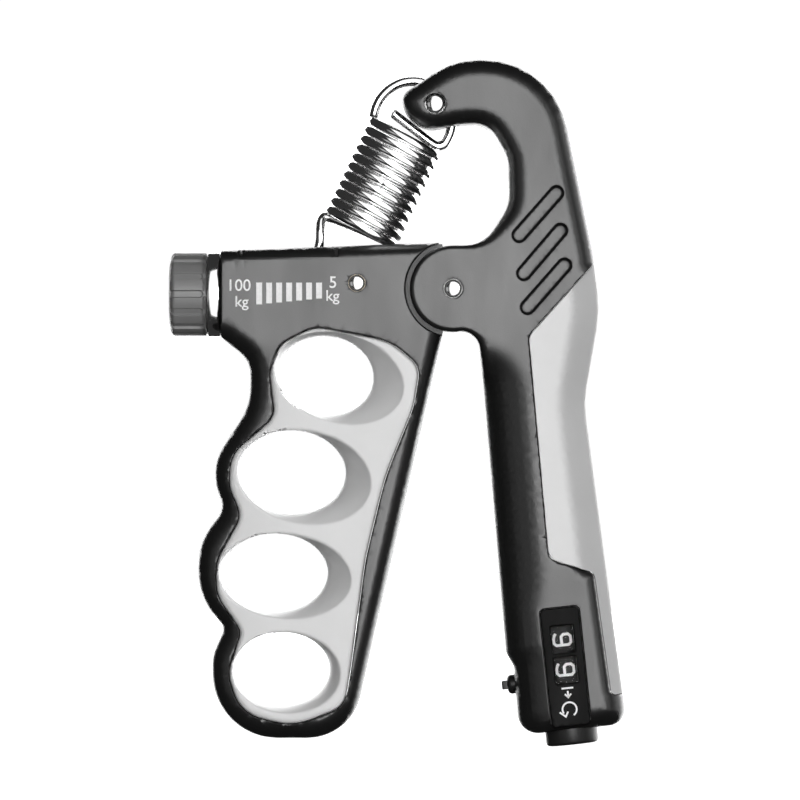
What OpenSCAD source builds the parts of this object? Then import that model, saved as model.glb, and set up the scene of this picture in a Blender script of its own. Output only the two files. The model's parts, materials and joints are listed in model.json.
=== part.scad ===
// Adjustable hand gripper with a press counter, drawn as the separate pieces it is assembled from.
// Millimetres. X runs across the two handles, Y from the front face to the back, Z is up.
// Outlines are drawn in X and Z and given thickness along Y.

/* [Overall] */
// Half the thickness of the finger handle
grip_half = 12; // [11.8:0.1:12.4]
// Half the thickness of the palm lever
lever_half = 13; // [12.8:0.1:13.2]
// Gap left between parts that are fitted together
seam = 0.1; // [0.05:0.05:0.15]
// Number of stepped rings in each flared finger hole
flare_steps = 4; // [2:1:6]

/* [Knob and screw] */
// Diameter of the adjusting knob
knob_d = 19.8; // [19:0.1:20.2]
// Number of grip grooves round the knob
groove_count = 14; // [10:1:16]
// Outer diameter of the lead screw thread
thread_d = 5; // [4.6:0.1:5]
// Distance the carriage moves for one turn of the knob
thread_pitch = 2; // [1.5:0.25:2.5]

/* [Spring] */
// Diameter of the spring wire
wire_d = 2.1; // [1.8:0.1:2.2]
// Number of turns in the coil
coil_count = 10; // [8:1:10]

/* [Pins] */
// Diameter of the main pivot pin
pivot_d = 4.2; // [3.8:0.1:4.4]
// Diameter of the pin through the barrel
barrel_pin_d = 3.9; // [3.4:0.1:3.9]

/* [Counter] */
// Diameter of each number wheel
wheel_d = 16.4; // [15.6:0.1:16.4]
// Number of ratchet teeth, one for each digit
ratchet_teeth = 10; // [10:1:10]

/* [Hidden] */
$fn = 48;

// Degrees turned by each straight piece of a rounded corner
corner_step = 13;

// Main centres as [x, z]
pivot = [13.5, 109.7];
spring_eye = [9.2, 153.9];
hook_eye = [-18.1, 114.8];
barrel_pin_at = [-9.5, 111];
screw_z = 108.4;

// Radii around the main pivot
cheek_r = 10.3;
recess_r = 11.4;
tongue_r = 9.4;
tongue_half = 6;
clevis_half = 6.7;

// Small turned parts
pivot_bush_r = 3.6;
bush_r = 5.4;
journal_r = 1.6;
hook_pin_r = 0.9;
spring_pin_r = 1.15;
spring_pin_head_r = 2.25;

// Retaining lip round the finger insert
flange_half = 3;
flange_grow = 1.2;

// Palm pad thickness over the lever's core, and the core's half thickness
pad_wall = 3;
core_half = 10.4;

// Slot at the tip of the lever where the spring's end loop runs
tip_gap = 1.8;
tip_slot_r = 11.4;

// Stations along the screw, as x
knob_left = -54.6;
knob_right = -45.7;
collar_left = -45.6;
barrel_left = -42;
bush_right = -38.6;
clip_right = -37.9;
nut_left = -22;
nut_right = -15.2;
block_left = -14.5;
block_right = -6.6;

// Barrel cavity
bay_half = 8;
bay_floor = 102.2;
bay_roof = 116.6;
slot_half = 2.6;

// Edge rounding of the two handles, as [inset of the outline, share of the rounding depth left out]
edge_steps = [[0, 1], [0.8, 0.42], [2, 0]];
edge_depth = 2.6;

// Outlines as [x, z, corner radius]
grip_corners = [
    [-42, 98, 1.6], [-42, 118.8, 0.8], [3, 120.5, 60], [10.6, 120.6, 0], [13, 110, 0], [11.5, 101, 0],
    [-10.9, 2.2, 13.1], [-44.1, 2.2, 15.6], [-44.1, 22, 9], [-41.2, 28.6, 2.2],
    [-47.5, 36.3, 16], [-47.5, 49, 16], [-41.3, 57.2, 4], [-43.5, 62.5, 12], [-43.5, 69, 12],
    [-35.1, 82, 14], [-35.1, 92.5, 7]
];
insert_corners = [
    [-19.5, 100.6, 8], [-1.5, 97.1, 14], [5.6, 91, 5], [4.1, 81.5, 20], [-2.8, 64.5, 60], [-7.5, 45, 60],
    [-11, 18.5, 20], [-12.4, 9.8, 6], [-25, 5, 14], [-37.3, 8.3, 9], [-40.4, 17.5, 8], [-37.1, 27.8, 3],
    [-43.1, 36.5, 9], [-43.1, 44.5, 9], [-37.1, 55.2, 5], [-40.1, 62.5, 8], [-39.6, 70, 8],
    [-29.1, 79, 5], [-30.4, 90, 8], [-27.7, 96.5, 5]
];
lever_corners = [
    [1.4, 146.3, 7.3], [1.4, 156.2, 3.6], [13.7, 164.4, 18], [37.4, 164.4, 20.3], [46.9, 118, 30],
    [48.7, 104.5, 30], [44.9, 82.5, 25], [55.1, 5.6, 4], [29.4, 2.8, 4.8], [28.1, 19.3, 2],
    [26.2, 22.6, 2], [20.9, 85, 60], [19.3, 100.1, 4.5], [13.5, 99.4, 0], [13.5, 120, 0],
    [20.6, 120, 8], [26.9, 129.8, 10], [26.6, 141, 9], [21.8, 149.3, 6], [15, 149, 5]
];
pad_corners = [
    [47.6, 116, 0], [31.6, 98.3, 3], [36.4, 44.9, 3.5], [47.3, 41.8, 2], [51.4, 12.4, 1.2], [62, 14.5, 0],
    [62, 116, 0]
];

// Finger holes: narrow middle and wide front edge, as [x, z, half width, half height, tilt]
hole_waists = [
    [-17, 88.9, 11.5, 9.5, -8], [-25, 65.8, 12.8, 10, -4], [-29.2, 41.7, 12.7, 9.4, 0], [-27.5, 18.6, 11.5, 8.9, 0]
];
hole_rims = [
    [-13.9, 88.4, 15.6, 10.6, -16], [-22.2, 64.6, 16, 11, -10], [-26.8, 40.9, 15.8, 10, -5], [-26.4, 17.9, 12.8, 9.6, -3]
];
insert_half = 11.4;
waist_half = 3;

// Screw positions as [x, z]
grip_screws_at = [[-33, 97.6], [6.2, 96.2], [-3.5, 50.5], [-1.8, 104.6]];
lever_screws_at = [[33.5, 143], [26.5, 108], [27.4, 70], [29.9, 40]];
screw_r = 1.2;
screw_head_r = 2.2;

// Recessed finger slots on the lever, as [x1, z1, x2, z2]
slot_lines = [[29.3, 122.4, 38.2, 132.5], [30.4, 113.3, 39.1, 123.5], [31.3, 105.2, 40.1, 115.2]];
slot_r = 1.65;

// Coil spring
wire_r = wire_d / 2;
coil_r = 8.8;
coil_lean = 25.5;
loop_centre = [3.9, 150.1];
loop_r = 9.4;
loop_rise = 4.2;
coil_length = 22.8;
coil_pitch = coil_length / (coil_count - 1);
eye_ring_r = 2.2;

// Room inside the lever for the counter, and the faceplate's half width
bay_x = 9;
plate_x = 4.7;

// Counter: its axis leans with the lower end of the lever
counter_base = [42.3, 0];
counter_lean = 6;
wheel_y = -2.2;
wheel_r = wheel_d / 2;
shaft_r = 1.4;
running_gap = 0.05;
units_low = 15.3;
units_high = 22.1;
tens_low = 22.5;
tens_high = 29.3;
ratchet_low = 12.9;
trigger_z = 16.3;

// ---------- helpers ----------

function unit(v) = v / norm(v);

function arc_points(centre, r, from, sweep) =
    let (n = max(2, ceil(abs(sweep) / corner_step)))
    [for (k = [0 : n]) centre + r * [cos(from + sweep * k / n), sin(from + sweep * k / n)]];

function short_turn(d) = d > 180 ? d - 360 : d < -180 ? d + 360 : d;

function corner_points(before, at, after, r) =
    let (
        u = unit(before - at),
        v = unit(after - at),
        half = acos(u * v) / 2,
        start = at + u * r / tan(half),
        finish = at + v * r / tan(half),
        centre = at + unit(u + v) * r / sin(half),
        from = atan2(start.y - centre.y, start.x - centre.x),
        to = atan2(finish.y - centre.y, finish.x - centre.x)
    )
    arc_points(centre, r, from, short_turn(to - from));

function rounded(p) = [
    for (i = [0 : len(p) - 1])
        let (a = p[(i + len(p) - 1) % len(p)], b = p[i], c = p[(i + 1) % len(p)])
        each (b[2] > 0 ? corner_points([a.x, a.y], [b.x, b.y], [c.x, c.y], b[2]) : [[b.x, b.y]])
];

function mix(a, b, t) = a * (1 - t) + b * t;

// Ellipse from [x, z, half width, half height, tilt]
function oval(e) = [
    for (k = [0 : 35])
        let (a = e[2] * cos(10 * k), b = e[3] * sin(10 * k))
        [e.x + a * cos(e[4]) - b * sin(e[4]), e.y + a * sin(e[4]) + b * cos(e[4])]
];

// Drawing in X and Z, given thickness from y0 to y1
module plate(y0, y1) {
    translate([0, y1, 0])
        rotate([90, 0, 0])
            linear_extrude(y1 - y0)
                children();
}

// Round bar along Y at a point [x, z]
module bar_y(at, r, y0, y1) {
    translate([at.x, y1, at.y])
        rotate([90, 0, 0])
            cylinder(r = r, h = y1 - y0);
}

// Round bar along X on the screw axis
module bar_x(x0, x1, r) {
    translate([x0, 0, screw_z])
        rotate([0, 90, 0])
            cylinder(r = r, h = x1 - x0);
}

module block(x0, x1, y0, y1, z0, z1) {
    translate([x0, y0, z0])
        cube([x1 - x0, y1 - y0, z1 - z0]);
}

// Handle body with stepped edges, from the middle plane to the outer face
module stepped_half(half, side) {
    for (s = edge_steps) {
        reach = half - edge_depth * s[1];
        plate(side < 0 ? -reach : 0, side < 0 ? 0 : reach)
            offset(delta = -s[0])
                children();
    }
}

// Places children on the counter axis
module on_counter() {
    translate([counter_base.x, wheel_y, counter_base.y])
        rotate([0, -counter_lean, 0])
            children();
}

// Ring washer along the counter axis
module tube_z(z0, z1, outer, inner) {
    translate([0, 0, z0])
        difference() {
            cylinder(r = outer, h = z1 - z0);
            translate([0, 0, -1])
                cylinder(r = inner, h = z1 - z0 + 2);
        }
}

// ---------- finger handle ----------

module grip_outline() {
    difference() {
        polygon(rounded(grip_corners));
        translate(pivot)
            circle(r = recess_r, $fn = 60);
    }
}

module tongue_outline() {
    difference() {
        union() {
            translate(pivot)
                circle(r = tongue_r, $fn = 60);
            polygon([[-2, 118.6], [9.3, 118], [13.5, 109.7], [7, 102.9], [2, 101], [-2, 101]]);
        }
        translate(pivot)
            circle(r = pivot_bush_r, $fn = 48);
    }
}
module insert_outline(grow) {
    offset(delta = grow)
        polygon(rounded(insert_corners));
}

module barrel_bay() {
    block(bush_right, block_right + seam, -bay_half, bay_half, bay_floor, bay_roof);
    block(-36.5, -15, -slot_half, slot_half, bay_floor, 125);
    block(-37.7, -13.8, -4.1, 4.1, 117.1, 125);
    bar_x(barrel_left - 1, bush_right + 1, bush_r);
}
module grip_shell(side) {
    difference() {
        union() {
            stepped_half(grip_half, side)
                grip_outline();
            plate(side < 0 ? -tongue_half : 0, side < 0 ? 0 : tongue_half)
                tongue_outline();
        }
        plate(-20, 20)
            insert_outline(seam);
        plate(-flange_half - seam, flange_half + seam)
            insert_outline(flange_grow + seam);
        barrel_bay();
        bar_y(barrel_pin_at, barrel_pin_d / 2, -20, 20);
        for (p = grip_screws_at) {
            bar_y(p, screw_r + 0.05, -7, 20);
            bar_y(p, screw_head_r + seam, 7.6, 20);
        }
    }
}

module grip_shell_front() {
    color("#6f7173")
        grip_shell(-1);
}

module grip_shell_rear() {
    color("#6a6c6e")
        grip_shell(1);
}

module flared_hole(waist, rim) {
    plate(-20, 20)
        polygon(oval(waist));
    for (side = [-1, 1])
        for (k = [1 : flare_steps]) {
            t = k / flare_steps;
            y = mix(waist_half, insert_half, (k - 1) / flare_steps);
            plate(side < 0 ? -20 : y, side < 0 ? -y : 20)
                polygon(oval(mix(waist, rim, t * t)));
        }
}

module finger_insert() {
    color("#c9cbcb")
        difference() {
            union() {
                plate(-insert_half + 0.8, insert_half - 0.8)
                    insert_outline(0);
                plate(-insert_half, insert_half)
                    insert_outline(-0.7);
                plate(-flange_half, flange_half)
                    insert_outline(flange_grow);
            }
            for (i = [0 : len(hole_waists) - 1])
                flared_hole(hole_waists[i], hole_rims[i]);
        }
}

module barrel_collar() {
    color("#c4c6c8")
        difference() {
            union() {
                bar_x(collar_left, barrel_left, 9.8);
                bar_x(collar_left + 0.5, barrel_left - 0.5, 10.2);
            }
            bar_x(collar_left - 1, barrel_left + 1, 2.95);
            bar_x(collar_left - 1, collar_left + 1.1, 5.1);
        }
}

module thrust_washer() {
    color("#8d9092")
        difference() {
            bar_x(collar_left, collar_left + 1, 5);
            bar_x(collar_left - 1, collar_left + 2, 2.85);
        }
}

module screw_bush() {
    color("#b08d4f")
        difference() {
            bar_x(barrel_left, bush_right, bush_r);
            bar_x(barrel_left - 1, bush_right + 1, 2.85);
        }
}

module screw_end_block() {
    color("#b08d4f")
        difference() {
            block(block_left, block_right, -bay_half + seam, bay_half - seam, bay_floor + seam, bay_roof - seam);
            bar_x(block_left - 1, block_left + 3.2, journal_r + running_gap);
            bar_y(barrel_pin_at, barrel_pin_d / 2, -20, 20);
        }
}

module barrel_pin() {
    color("#d5d7d9")
        bar_y(barrel_pin_at, barrel_pin_d / 2, -grip_half + 0.2, grip_half - 0.2);
}

module slot_liner() {
    color("#2b2c2e")
        difference() {
            block(-37.6, -13.9, -4, 4, 117.1, 118.6);
            block(-36.4, -15.1, -slot_half, slot_half, 110, 125);
        }
}

module pivot_bush() {
    color("#b08d4f")
        difference() {
            bar_y(pivot, pivot_bush_r, -tongue_half, tongue_half);
            bar_y(pivot, pivot_d / 2 + running_gap, -20, 20);
        }
}

// Self-tapping screws put in from the back
module shell_screws(points, tip_y, seat_y, head_y) {
    for (p = points)
        difference() {
            union() {
                bar_y(p, screw_r, tip_y, seat_y + 1);
                bar_y(p, screw_head_r, seat_y, head_y);
            }
            bar_y(p, 0.9, head_y - 1, head_y + 1);
        }
}

module grip_screws() {
    color("#3a3b3d")
        shell_screws(grip_screws_at, -6.8, 7.6, 9.6);
}

// ---------- knob, screw and carriage ----------

module adjuster_knob() {
    color("#4d4f51")
        difference() {
            translate([knob_left, 0, screw_z])
                rotate([0, 90, 0])
                    rotate_extrude($fn = 72)
                        polygon([
                            [0, 0], [knob_d / 2 - 1.5, 0], [knob_d / 2 - 0.4, 0.5], [knob_d / 2, 1.5],
                            [knob_d / 2, knob_right - knob_left], [0, knob_right - knob_left]
                        ]);
            bar_x(knob_left - 1, knob_left + 2, 3.4);
            bar_x(knob_left, knob_right + 1, 2.4);
            for (i = [0 : groove_count - 1])
                translate([0, 0, screw_z])
                    rotate([i * 360 / groove_count, 0, 0])
                        translate([knob_left - 1, -0.8, knob_d / 2 - 0.6])
                            cube([7, 1.6, 3]);
        }
}

module knob_screw() {
    color("#3a3b3d")
        difference() {
            bar_x(knob_left + 0.7, knob_left + 2, 3.2);
            bar_x(knob_left - 1, knob_left + 1.4, 1.5, $fn = 6);
        }
}

// Turned screw: plain journals at both ends and grooves between them
module lead_screw() {
    major = thread_d / 2;
    minor = major - 0.5;
    start = clip_right + 0.4;
    count = floor((block_left - 0.6 - start) / thread_pitch);
    color("#b9bcbe")
        translate([0, 0, screw_z])
            rotate([0, 90, 0])
                rotate_extrude()
                    polygon(concat(
                        [[0, knob_left + 2], [2.4, knob_left + 2], [2.4, knob_right], [2.8, knob_right],
                         [2.8, bush_right], [2.1, bush_right], [2.1, clip_right], [major, clip_right]],
                        [for (i = [0 : count - 1]) each [
                            [major, start + i * thread_pitch],
                            [minor, start + i * thread_pitch + 0.5],
                            [minor, start + i * thread_pitch + 0.9],
                            [major, start + i * thread_pitch + 1.4]
                        ]],
                        [[major, block_left - 0.1], [journal_r, block_left - 0.1],
                         [journal_r, block_left + 2.8], [0, block_left + 2.8]]
                    ));
}

module retaining_clip() {
    color("#8d9092")
        difference() {
            bar_x(bush_right + 0.05, clip_right - 0.05, 4.4);
            bar_x(bush_right - 1, clip_right + 1, 2.1);
            block(bush_right - 1, clip_right + 1, -1.4, 1.4, screw_z - 6, screw_z);
        }
}

module carriage() {
    nut_half = 6.6;
    color("#d8dadb")
        difference() {
            block(nut_left, nut_right, -nut_half, nut_half, bay_floor + 0.5, bay_roof - 0.3);
            block(nut_left - 1, nut_right + 1, -1.7, 1.7, 111.2, 125);
            bar_x(nut_left - 1, nut_right + 1, thread_d / 2 + running_gap);
            bar_y(hook_eye, hook_pin_r, -20, 20);
        }
}

module hook_pin() {
    color("#d5d7d9")
        bar_y(hook_eye, hook_pin_r, -6.6, 6.6);
}

// ---------- palm lever ----------

module lever_outline() {
    polygon(rounded(lever_corners));
    translate(pivot)
        circle(r = cheek_r, $fn = 60);
}

module pad_outline(grow) {
    offset(delta = grow)
        polygon(rounded(pad_corners));
}

// What is left of the outline under the palm pad
module core_outline() {
    difference() {
        lever_outline();
        pad_outline(seam);
    }
    offset(delta = -pad_wall)
        lever_outline();
}

module lever_hollow() {
    plate(-8.2, 8.2)
        difference() {
            offset(delta = -2.4)
                core_outline();
            translate(pivot)
                circle(r = 13);
            translate(spring_eye)
                circle(r = 12.5);
            for (p = lever_screws_at)
                translate(p)
                    circle(r = 3.4);
            translate([26, 2])
                square([30, 31]);
        }
}

module counter_bay() {
    on_counter() {
        block_local(-bay_x, bay_x, -10.7 - wheel_y, 10.7 - wheel_y, 7, 32.5);
        block_local(-11.3, -8.9, -9, 11.8, 12.2, 18.9);
        cylinder(r = 6.4, h = 20);
        block_local(-plate_x - seam, plate_x + seam, -20, -11.7 - wheel_y, 5.1, 33.7);
        block_local(-2.7, 2.7, -20, 0, units_low, units_high - 0.2);
        block_local(-2.7, 2.7, -20, 0, tens_low + 0.2, tens_high);
        translate([-30, -wheel_y, trigger_z])
            rotate([0, 90, 0])
                cylinder(r = 2.4, h = 25);
    }
}

module block_local(x0, x1, y0, y1, z0, z1) {
    translate([x0, y0, z0])
        cube([x1 - x0, y1 - y0, z1 - z0]);
}

module lever_slots() {
    for (s = slot_lines)
        for (side = [-1, 1])
            plate(side < 0 ? -20 : lever_half - 1, side < 0 ? -lever_half + 1 : 20)
                hull() {
                    translate([s[0], s[1]])
                        circle(r = slot_r, $fn = 24);
                    translate([s[2], s[3]])
                        circle(r = slot_r, $fn = 24);
                }
}

module lever_shell(side) {
    difference() {
        union() {
            difference() {
                stepped_half(lever_half, side)
                    lever_outline();
                plate(-20, 20)
                    pad_outline(seam);
            }
            plate(side < 0 ? -core_half : 0, side < 0 ? 0 : core_half)
                intersection() {
                    core_outline();
                    pad_outline(1);
                }
        }
        lever_hollow();
        counter_bay();
        lever_slots();
        plate(-clevis_half, clevis_half)
            translate(pivot)
                circle(r = cheek_r + 0.4, $fn = 60);
        plate(-tip_gap, tip_gap)
            translate(loop_centre)
                circle(r = tip_slot_r, $fn = 60);
        bar_y(pivot, pivot_d / 2, -20, 20);
        bar_y(spring_eye, spring_pin_r, -20, 20);
        for (y = [[-20, -lever_half + 2.6], [lever_half - 2.6, 20]])
            bar_y(spring_eye, spring_pin_head_r, y[0], y[1]);
        for (p = lever_screws_at) {
            bar_y(p, screw_r + 0.05, -7, 20);
            bar_y(p, screw_head_r + seam, 8, 20);
        }
    }
}

module lever_shell_front() {
    color("#66686a")
        lever_shell(-1);
}

module lever_shell_rear() {
    color("#626466")
        lever_shell(1);
}

module palm_pad() {
    color("#d4d6d6")
        difference() {
            for (side = [-1, 1])
                stepped_half(lever_half, side)
                    intersection() {
                        lever_outline();
                        pad_outline(0);
                    }
            plate(-core_half - seam, core_half + seam)
                offset(delta = seam)
                    core_outline();
        }
}

module main_pivot_pin() {
    color("#d5d7d9")
        bar_y(pivot, pivot_d / 2, -lever_half + 0.2, lever_half - 0.2);
}

module pivot_washers() {
    color("#8d9092")
        for (y = [-clevis_half, clevis_half - 0.6])
            difference() {
                bar_y(pivot, 5, y, y + 0.6);
                bar_y(pivot, pivot_d / 2, -20, 20);
            }
}

module spring_pin() {
    color("#d5d7d9") {
        bar_y(spring_eye, spring_pin_r, -lever_half + 1, lever_half - 1);
        for (y = [-lever_half + 0.3, lever_half - 2.6])
            bar_y(spring_eye, spring_pin_head_r, y, y + 2.3);
    }
}

module lever_screws() {
    color("#3a3b3d")
        shell_screws(lever_screws_at, -6.8, 8, 10);
}

// ---------- counter ----------

module counter_frame() {
    color("#c2a060")
        on_counter()
            difference() {
                union() {
                    block_local(-8.4, 8.4, -7.5, 12.2, 10.8, 12);
                    block_local(-8.4, 8.4, -7.5, 12.2, 29.8, 31.2);
                    block_local(-8.4, 8.4, 11.2, 12.2, 10.8, 31.2);
                    block_local(-6.9, -6.1, 8.4, 11.2, 12, 15.3);
                }
                cylinder(r = shaft_r, h = 40);
            }
}

module counter_faceplate() {
    color("#17181a")
        on_counter()
            difference() {
                block_local(-plate_x, plate_x, -lever_half - wheel_y + 0.2, -11.7 - wheel_y, 5.2, 33.6);
                block_local(-2.6, 2.8, -20, 0, units_low + 0.2, units_high - 0.3);
                block_local(-2.6, 2.8, -20, 0, tens_low + 0.3, tens_high);
                block_local(-3.4, 3.4, -12.4 - wheel_y + 0.2, 0, units_low - 0.6, tens_high + 0.6);
            }
}

module window_lens() {
    color("#dfe6ea", 0.35)
        on_counter()
            block_local(-3.3, 3.3, -12.1 - wheel_y, -11.75 - wheel_y, units_low - 0.5, tens_high + 0.5);
}

module wheel_shaft() {
    color("#b9bcbe")
        on_counter()
            translate([0, 0, 10.9])
                cylinder(r = shaft_r, h = 20.2);
}

module stop_pawl() {
    color("#8d9092")
        on_counter() {
            block_local(7.4, 8.2, -4, 4.5, 12.05, 14.6);
            block_local(7, 8.2, 4.5, 11.1, 12.05, 12.7);
        }
}

module number_wheel(low, high) {
    on_counter()
        difference() {
            union() {
                tube_z(low, high, wheel_r, shaft_r + running_gap);
            }
            tube_z(low - 1, low + 0.8, wheel_r - 1.4, 3);
            tube_z(high - 0.8, high + 1, wheel_r - 1.4, 3);
        }
}

module tens_wheel() {
    color("#222325")
        number_wheel(tens_low, tens_high);
}

module units_wheel() {
    color("#222325")
        number_wheel(units_low, units_high);
}

// Saw-tooth ring on the lower side of the units wheel
module ratchet_wheel() {
    root = 5.4;
    tip = 6.6;
    pitch = 360 / ratchet_teeth;
    color("#d8dadb")
        on_counter()
            translate([0, 0, ratchet_low])
                linear_extrude(units_low - ratchet_low - 0.05)
                    difference() {
                        polygon([
                            for (i = [0 : ratchet_teeth - 1])
                                for (s = [[root, 0], [mix(root, tip, 0.5), 0.5], [tip, 0.92]])
                                    s[0] * [cos(pitch * (i + s[1])), sin(pitch * (i + s[1]))]
                        ]);
                        circle(r = shaft_r + running_gap);
                    }
}

module trigger_plunger() {
    color("#2b2c2e")
        on_counter() {
            translate([-15.4, -wheel_y, trigger_z])
                rotate([0, 90, 0])
                    cylinder(r = 1.5, h = 1.8);
            translate([-14, -wheel_y, trigger_z])
                rotate([0, 90, 0])
                    cylinder(r = 2.3, h = 3);
            block_local(-11.1, -10.5, 1, 8.8, 12.4, 18.7);
            block_local(-11.1, -10.5, 8.8, 11.4, 12.4, 15.3);
        }
}

module drive_pawl() {
    color("#8d9092")
        on_counter()
            block_local(-10.5, -0.5, 7, 7.8, 12.9, 14.5);
}

module trigger_spring() {
    color("#b9bcbe")
        on_counter()
            for (i = [0 : 4])
                translate([-10.2 + i * 0.7, 10, 13.8])
                    rotate([0, 90, 0])
                        rotate_extrude($fn = 24)
                            translate([0.9, 0])
                                circle(r = 0.25, $fn = 16);
}

module reset_plunger() {
    color("#8d9092")
        on_counter()
            tube_z(7.1, 8, 7.4, 2.6);
}

module reset_knob() {
    color("#3a3b3d")
        on_counter() {
            rotate_extrude()
                polygon([[0, 0.57], [5.3, 0.57], [6.25, 1.5], [6.25, 7.05], [2.5, 7.05], [2.5, 8.8], [0, 8.8]]);
        }
}

module reset_spring() {
    color("#b9bcbe")
        on_counter()
            for (i = [0 : 2])
                translate([0, 0, 8.35 + i * 0.9])
                    rotate_extrude($fn = 36)
                        translate([4.5, 0])
                            circle(r = 0.3, $fn = 16);
}

// ---------- spring ----------

module on_spring() {
    translate([loop_centre.x, 0, loop_centre.y])
        rotate([0, coil_lean, 0])
            children();
}

module coil_ring(i) {
    translate([0, 0, -loop_rise - i * coil_pitch])
        rotate_extrude()
            translate([coil_r, 0])
                circle(r = wire_r, $fn = 24);
}

module spring_sleeve() {
    color("#8d9092")
        difference() {
            bar_y(spring_eye, 1.55, -1.6, 1.6);
            bar_y(spring_eye, spring_pin_r + running_gap, -20, 20);
        }
}

// End loop and the first turns
module spring_head() {
    spread = 90 + asin(loop_rise / loop_r);
    color("#c4c6c8")
        on_spring() {
            rotate([90, 0, 0])
                rotate([0, 0, 90 - spread])
                    rotate_extrude(angle = 2 * spread)
                        translate([loop_r, 0])
                            circle(r = wire_r, $fn = 24);
            for (i = [0 : 1])
                coil_ring(i);
        }
}

module spring_coil() {
    color("#c4c6c8")
        on_spring()
            for (i = [2 : coil_count - 3])
                coil_ring(i);
}

// Last turns, the straight leg and the eye on the carriage pin
module spring_foot() {
    depth = loop_rise + coil_length;
    leg_top = loop_centre + [
        -coil_r * cos(coil_lean) - depth * sin(coil_lean), coil_r * sin(coil_lean) - depth * cos(coil_lean)
    ];
    leg_base = hook_eye + [0, eye_ring_r];
    leg = leg_top - leg_base;
    color("#c4c6c8") {
        on_spring()
            for (i = [coil_count - 2 : coil_count - 1])
                coil_ring(i);
        translate([leg_base.x, 0, leg_base.y])
            rotate([0, atan2(leg.x, leg.y), 0])
                cylinder(r = wire_r - 0.08, h = norm(leg));
        translate([hook_eye.x, 0, hook_eye.y])
            rotate([90, 0, 0])
                rotate_extrude()
                    translate([eye_ring_r, 0])
                        circle(r = wire_r, $fn = 24);
    }
}

grip_shell_front();
grip_shell_rear();
finger_insert();
barrel_collar();
thrust_washer();
screw_bush();
screw_end_block();
barrel_pin();
slot_liner();
pivot_bush();
grip_screws();
adjuster_knob();
knob_screw();
lead_screw();
retaining_clip();
carriage();
hook_pin();
lever_shell_front();
lever_shell_rear();
palm_pad();
main_pivot_pin();
pivot_washers();
spring_pin();
lever_screws();
counter_frame();
counter_faceplate();
window_lens();
wheel_shaft();
stop_pawl();
tens_wheel();
units_wheel();
ratchet_wheel();
trigger_plunger();
drive_pawl();
trigger_spring();
reset_plunger();
reset_knob();
reset_spring();
spring_sleeve();
spring_head();
spring_coil();
spring_foot();
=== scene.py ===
"""Looks of the adjustable hand gripper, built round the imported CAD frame."""

import json
import math

import bpy
import numpy as np
from mathutils import Matrix, Vector
from mathutils.geometry import delaunay_2d_cdt


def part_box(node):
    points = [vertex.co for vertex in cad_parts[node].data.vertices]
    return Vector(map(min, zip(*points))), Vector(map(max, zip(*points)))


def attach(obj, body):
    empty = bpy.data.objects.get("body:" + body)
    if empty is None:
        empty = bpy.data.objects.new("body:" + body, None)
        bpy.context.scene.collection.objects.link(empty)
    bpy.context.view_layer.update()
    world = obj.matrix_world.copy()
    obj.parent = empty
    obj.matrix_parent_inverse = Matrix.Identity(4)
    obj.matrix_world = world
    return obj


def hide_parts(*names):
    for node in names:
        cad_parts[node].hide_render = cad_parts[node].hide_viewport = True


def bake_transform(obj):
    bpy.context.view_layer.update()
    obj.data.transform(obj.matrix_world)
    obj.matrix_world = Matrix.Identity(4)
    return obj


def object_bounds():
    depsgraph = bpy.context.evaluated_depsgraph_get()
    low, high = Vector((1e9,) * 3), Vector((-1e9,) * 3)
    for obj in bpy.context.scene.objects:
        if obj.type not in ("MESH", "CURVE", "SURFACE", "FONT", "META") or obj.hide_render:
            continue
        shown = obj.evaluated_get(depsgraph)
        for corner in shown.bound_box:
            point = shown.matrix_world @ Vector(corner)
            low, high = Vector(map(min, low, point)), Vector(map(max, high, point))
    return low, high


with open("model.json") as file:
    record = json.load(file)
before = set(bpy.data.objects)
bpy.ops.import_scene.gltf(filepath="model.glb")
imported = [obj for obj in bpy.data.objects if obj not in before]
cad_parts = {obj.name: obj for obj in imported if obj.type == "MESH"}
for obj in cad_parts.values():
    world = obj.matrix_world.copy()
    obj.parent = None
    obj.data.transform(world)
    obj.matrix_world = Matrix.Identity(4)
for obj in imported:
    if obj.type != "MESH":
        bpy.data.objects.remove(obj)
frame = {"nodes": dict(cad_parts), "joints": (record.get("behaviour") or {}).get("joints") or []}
CAD_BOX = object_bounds()
MM = 0.001
SIDES = {-1: "front", 1: "rear"}
JOINTS = {joint["name"]: joint for joint in frame["joints"]}


# ---------- places taken from the frame, in millimetres ----------

def lows(node):
    return np.array(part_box(node)[0]) / MM


def highs(node):
    return np.array(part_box(node)[1]) / MM


def middle(node):
    return (lows(node) + highs(node)) / 2


def vertices(node):
    return np.array([v.co for v in frame["nodes"][node].data.vertices]) / MM


GRIP_HALF = highs("grip_shell_rear")[1]
LEVER_HALF = highs("lever_shell_rear")[1]
TONGUE_HALF = highs("pivot_bush")[1]
CLEVIS_HALF = highs("pivot_washers")[1]
PIVOT = middle("main_pivot_pin")[[0, 2]]
SPRING_EYE = middle("spring_pin")[[0, 2]]
BARREL_PIN = middle("barrel_pin")[[0, 2]]
SCREW_Z = middle("lead_screw")[2]

# Circles round the main pivot and round the spring's end loop
RECESS_R = 11.4
CHEEK_R = 10.3
CHEEK_EDGE = 1.1
CHEEK_REACH = 16.0
CLEVIS_R = 10.7
LOOP_AT = SPRING_EYE + np.array([-5.3, -3.8])
TIP_SLOT_R = 11.4
TIP_GAP = 1.8

# The counter's own axes: x across, y to the back, z up the leaning axis
COUNTER_UP = np.array(JOINTS["units_turn"]["axis"])
COUNTER_X = np.array([COUNTER_UP[2], 0, -COUNTER_UP[0]])
_shaft = middle("wheel_shaft")
COUNTER_AT = _shaft - COUNTER_UP * (_shaft[2] / COUNTER_UP[2])


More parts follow.
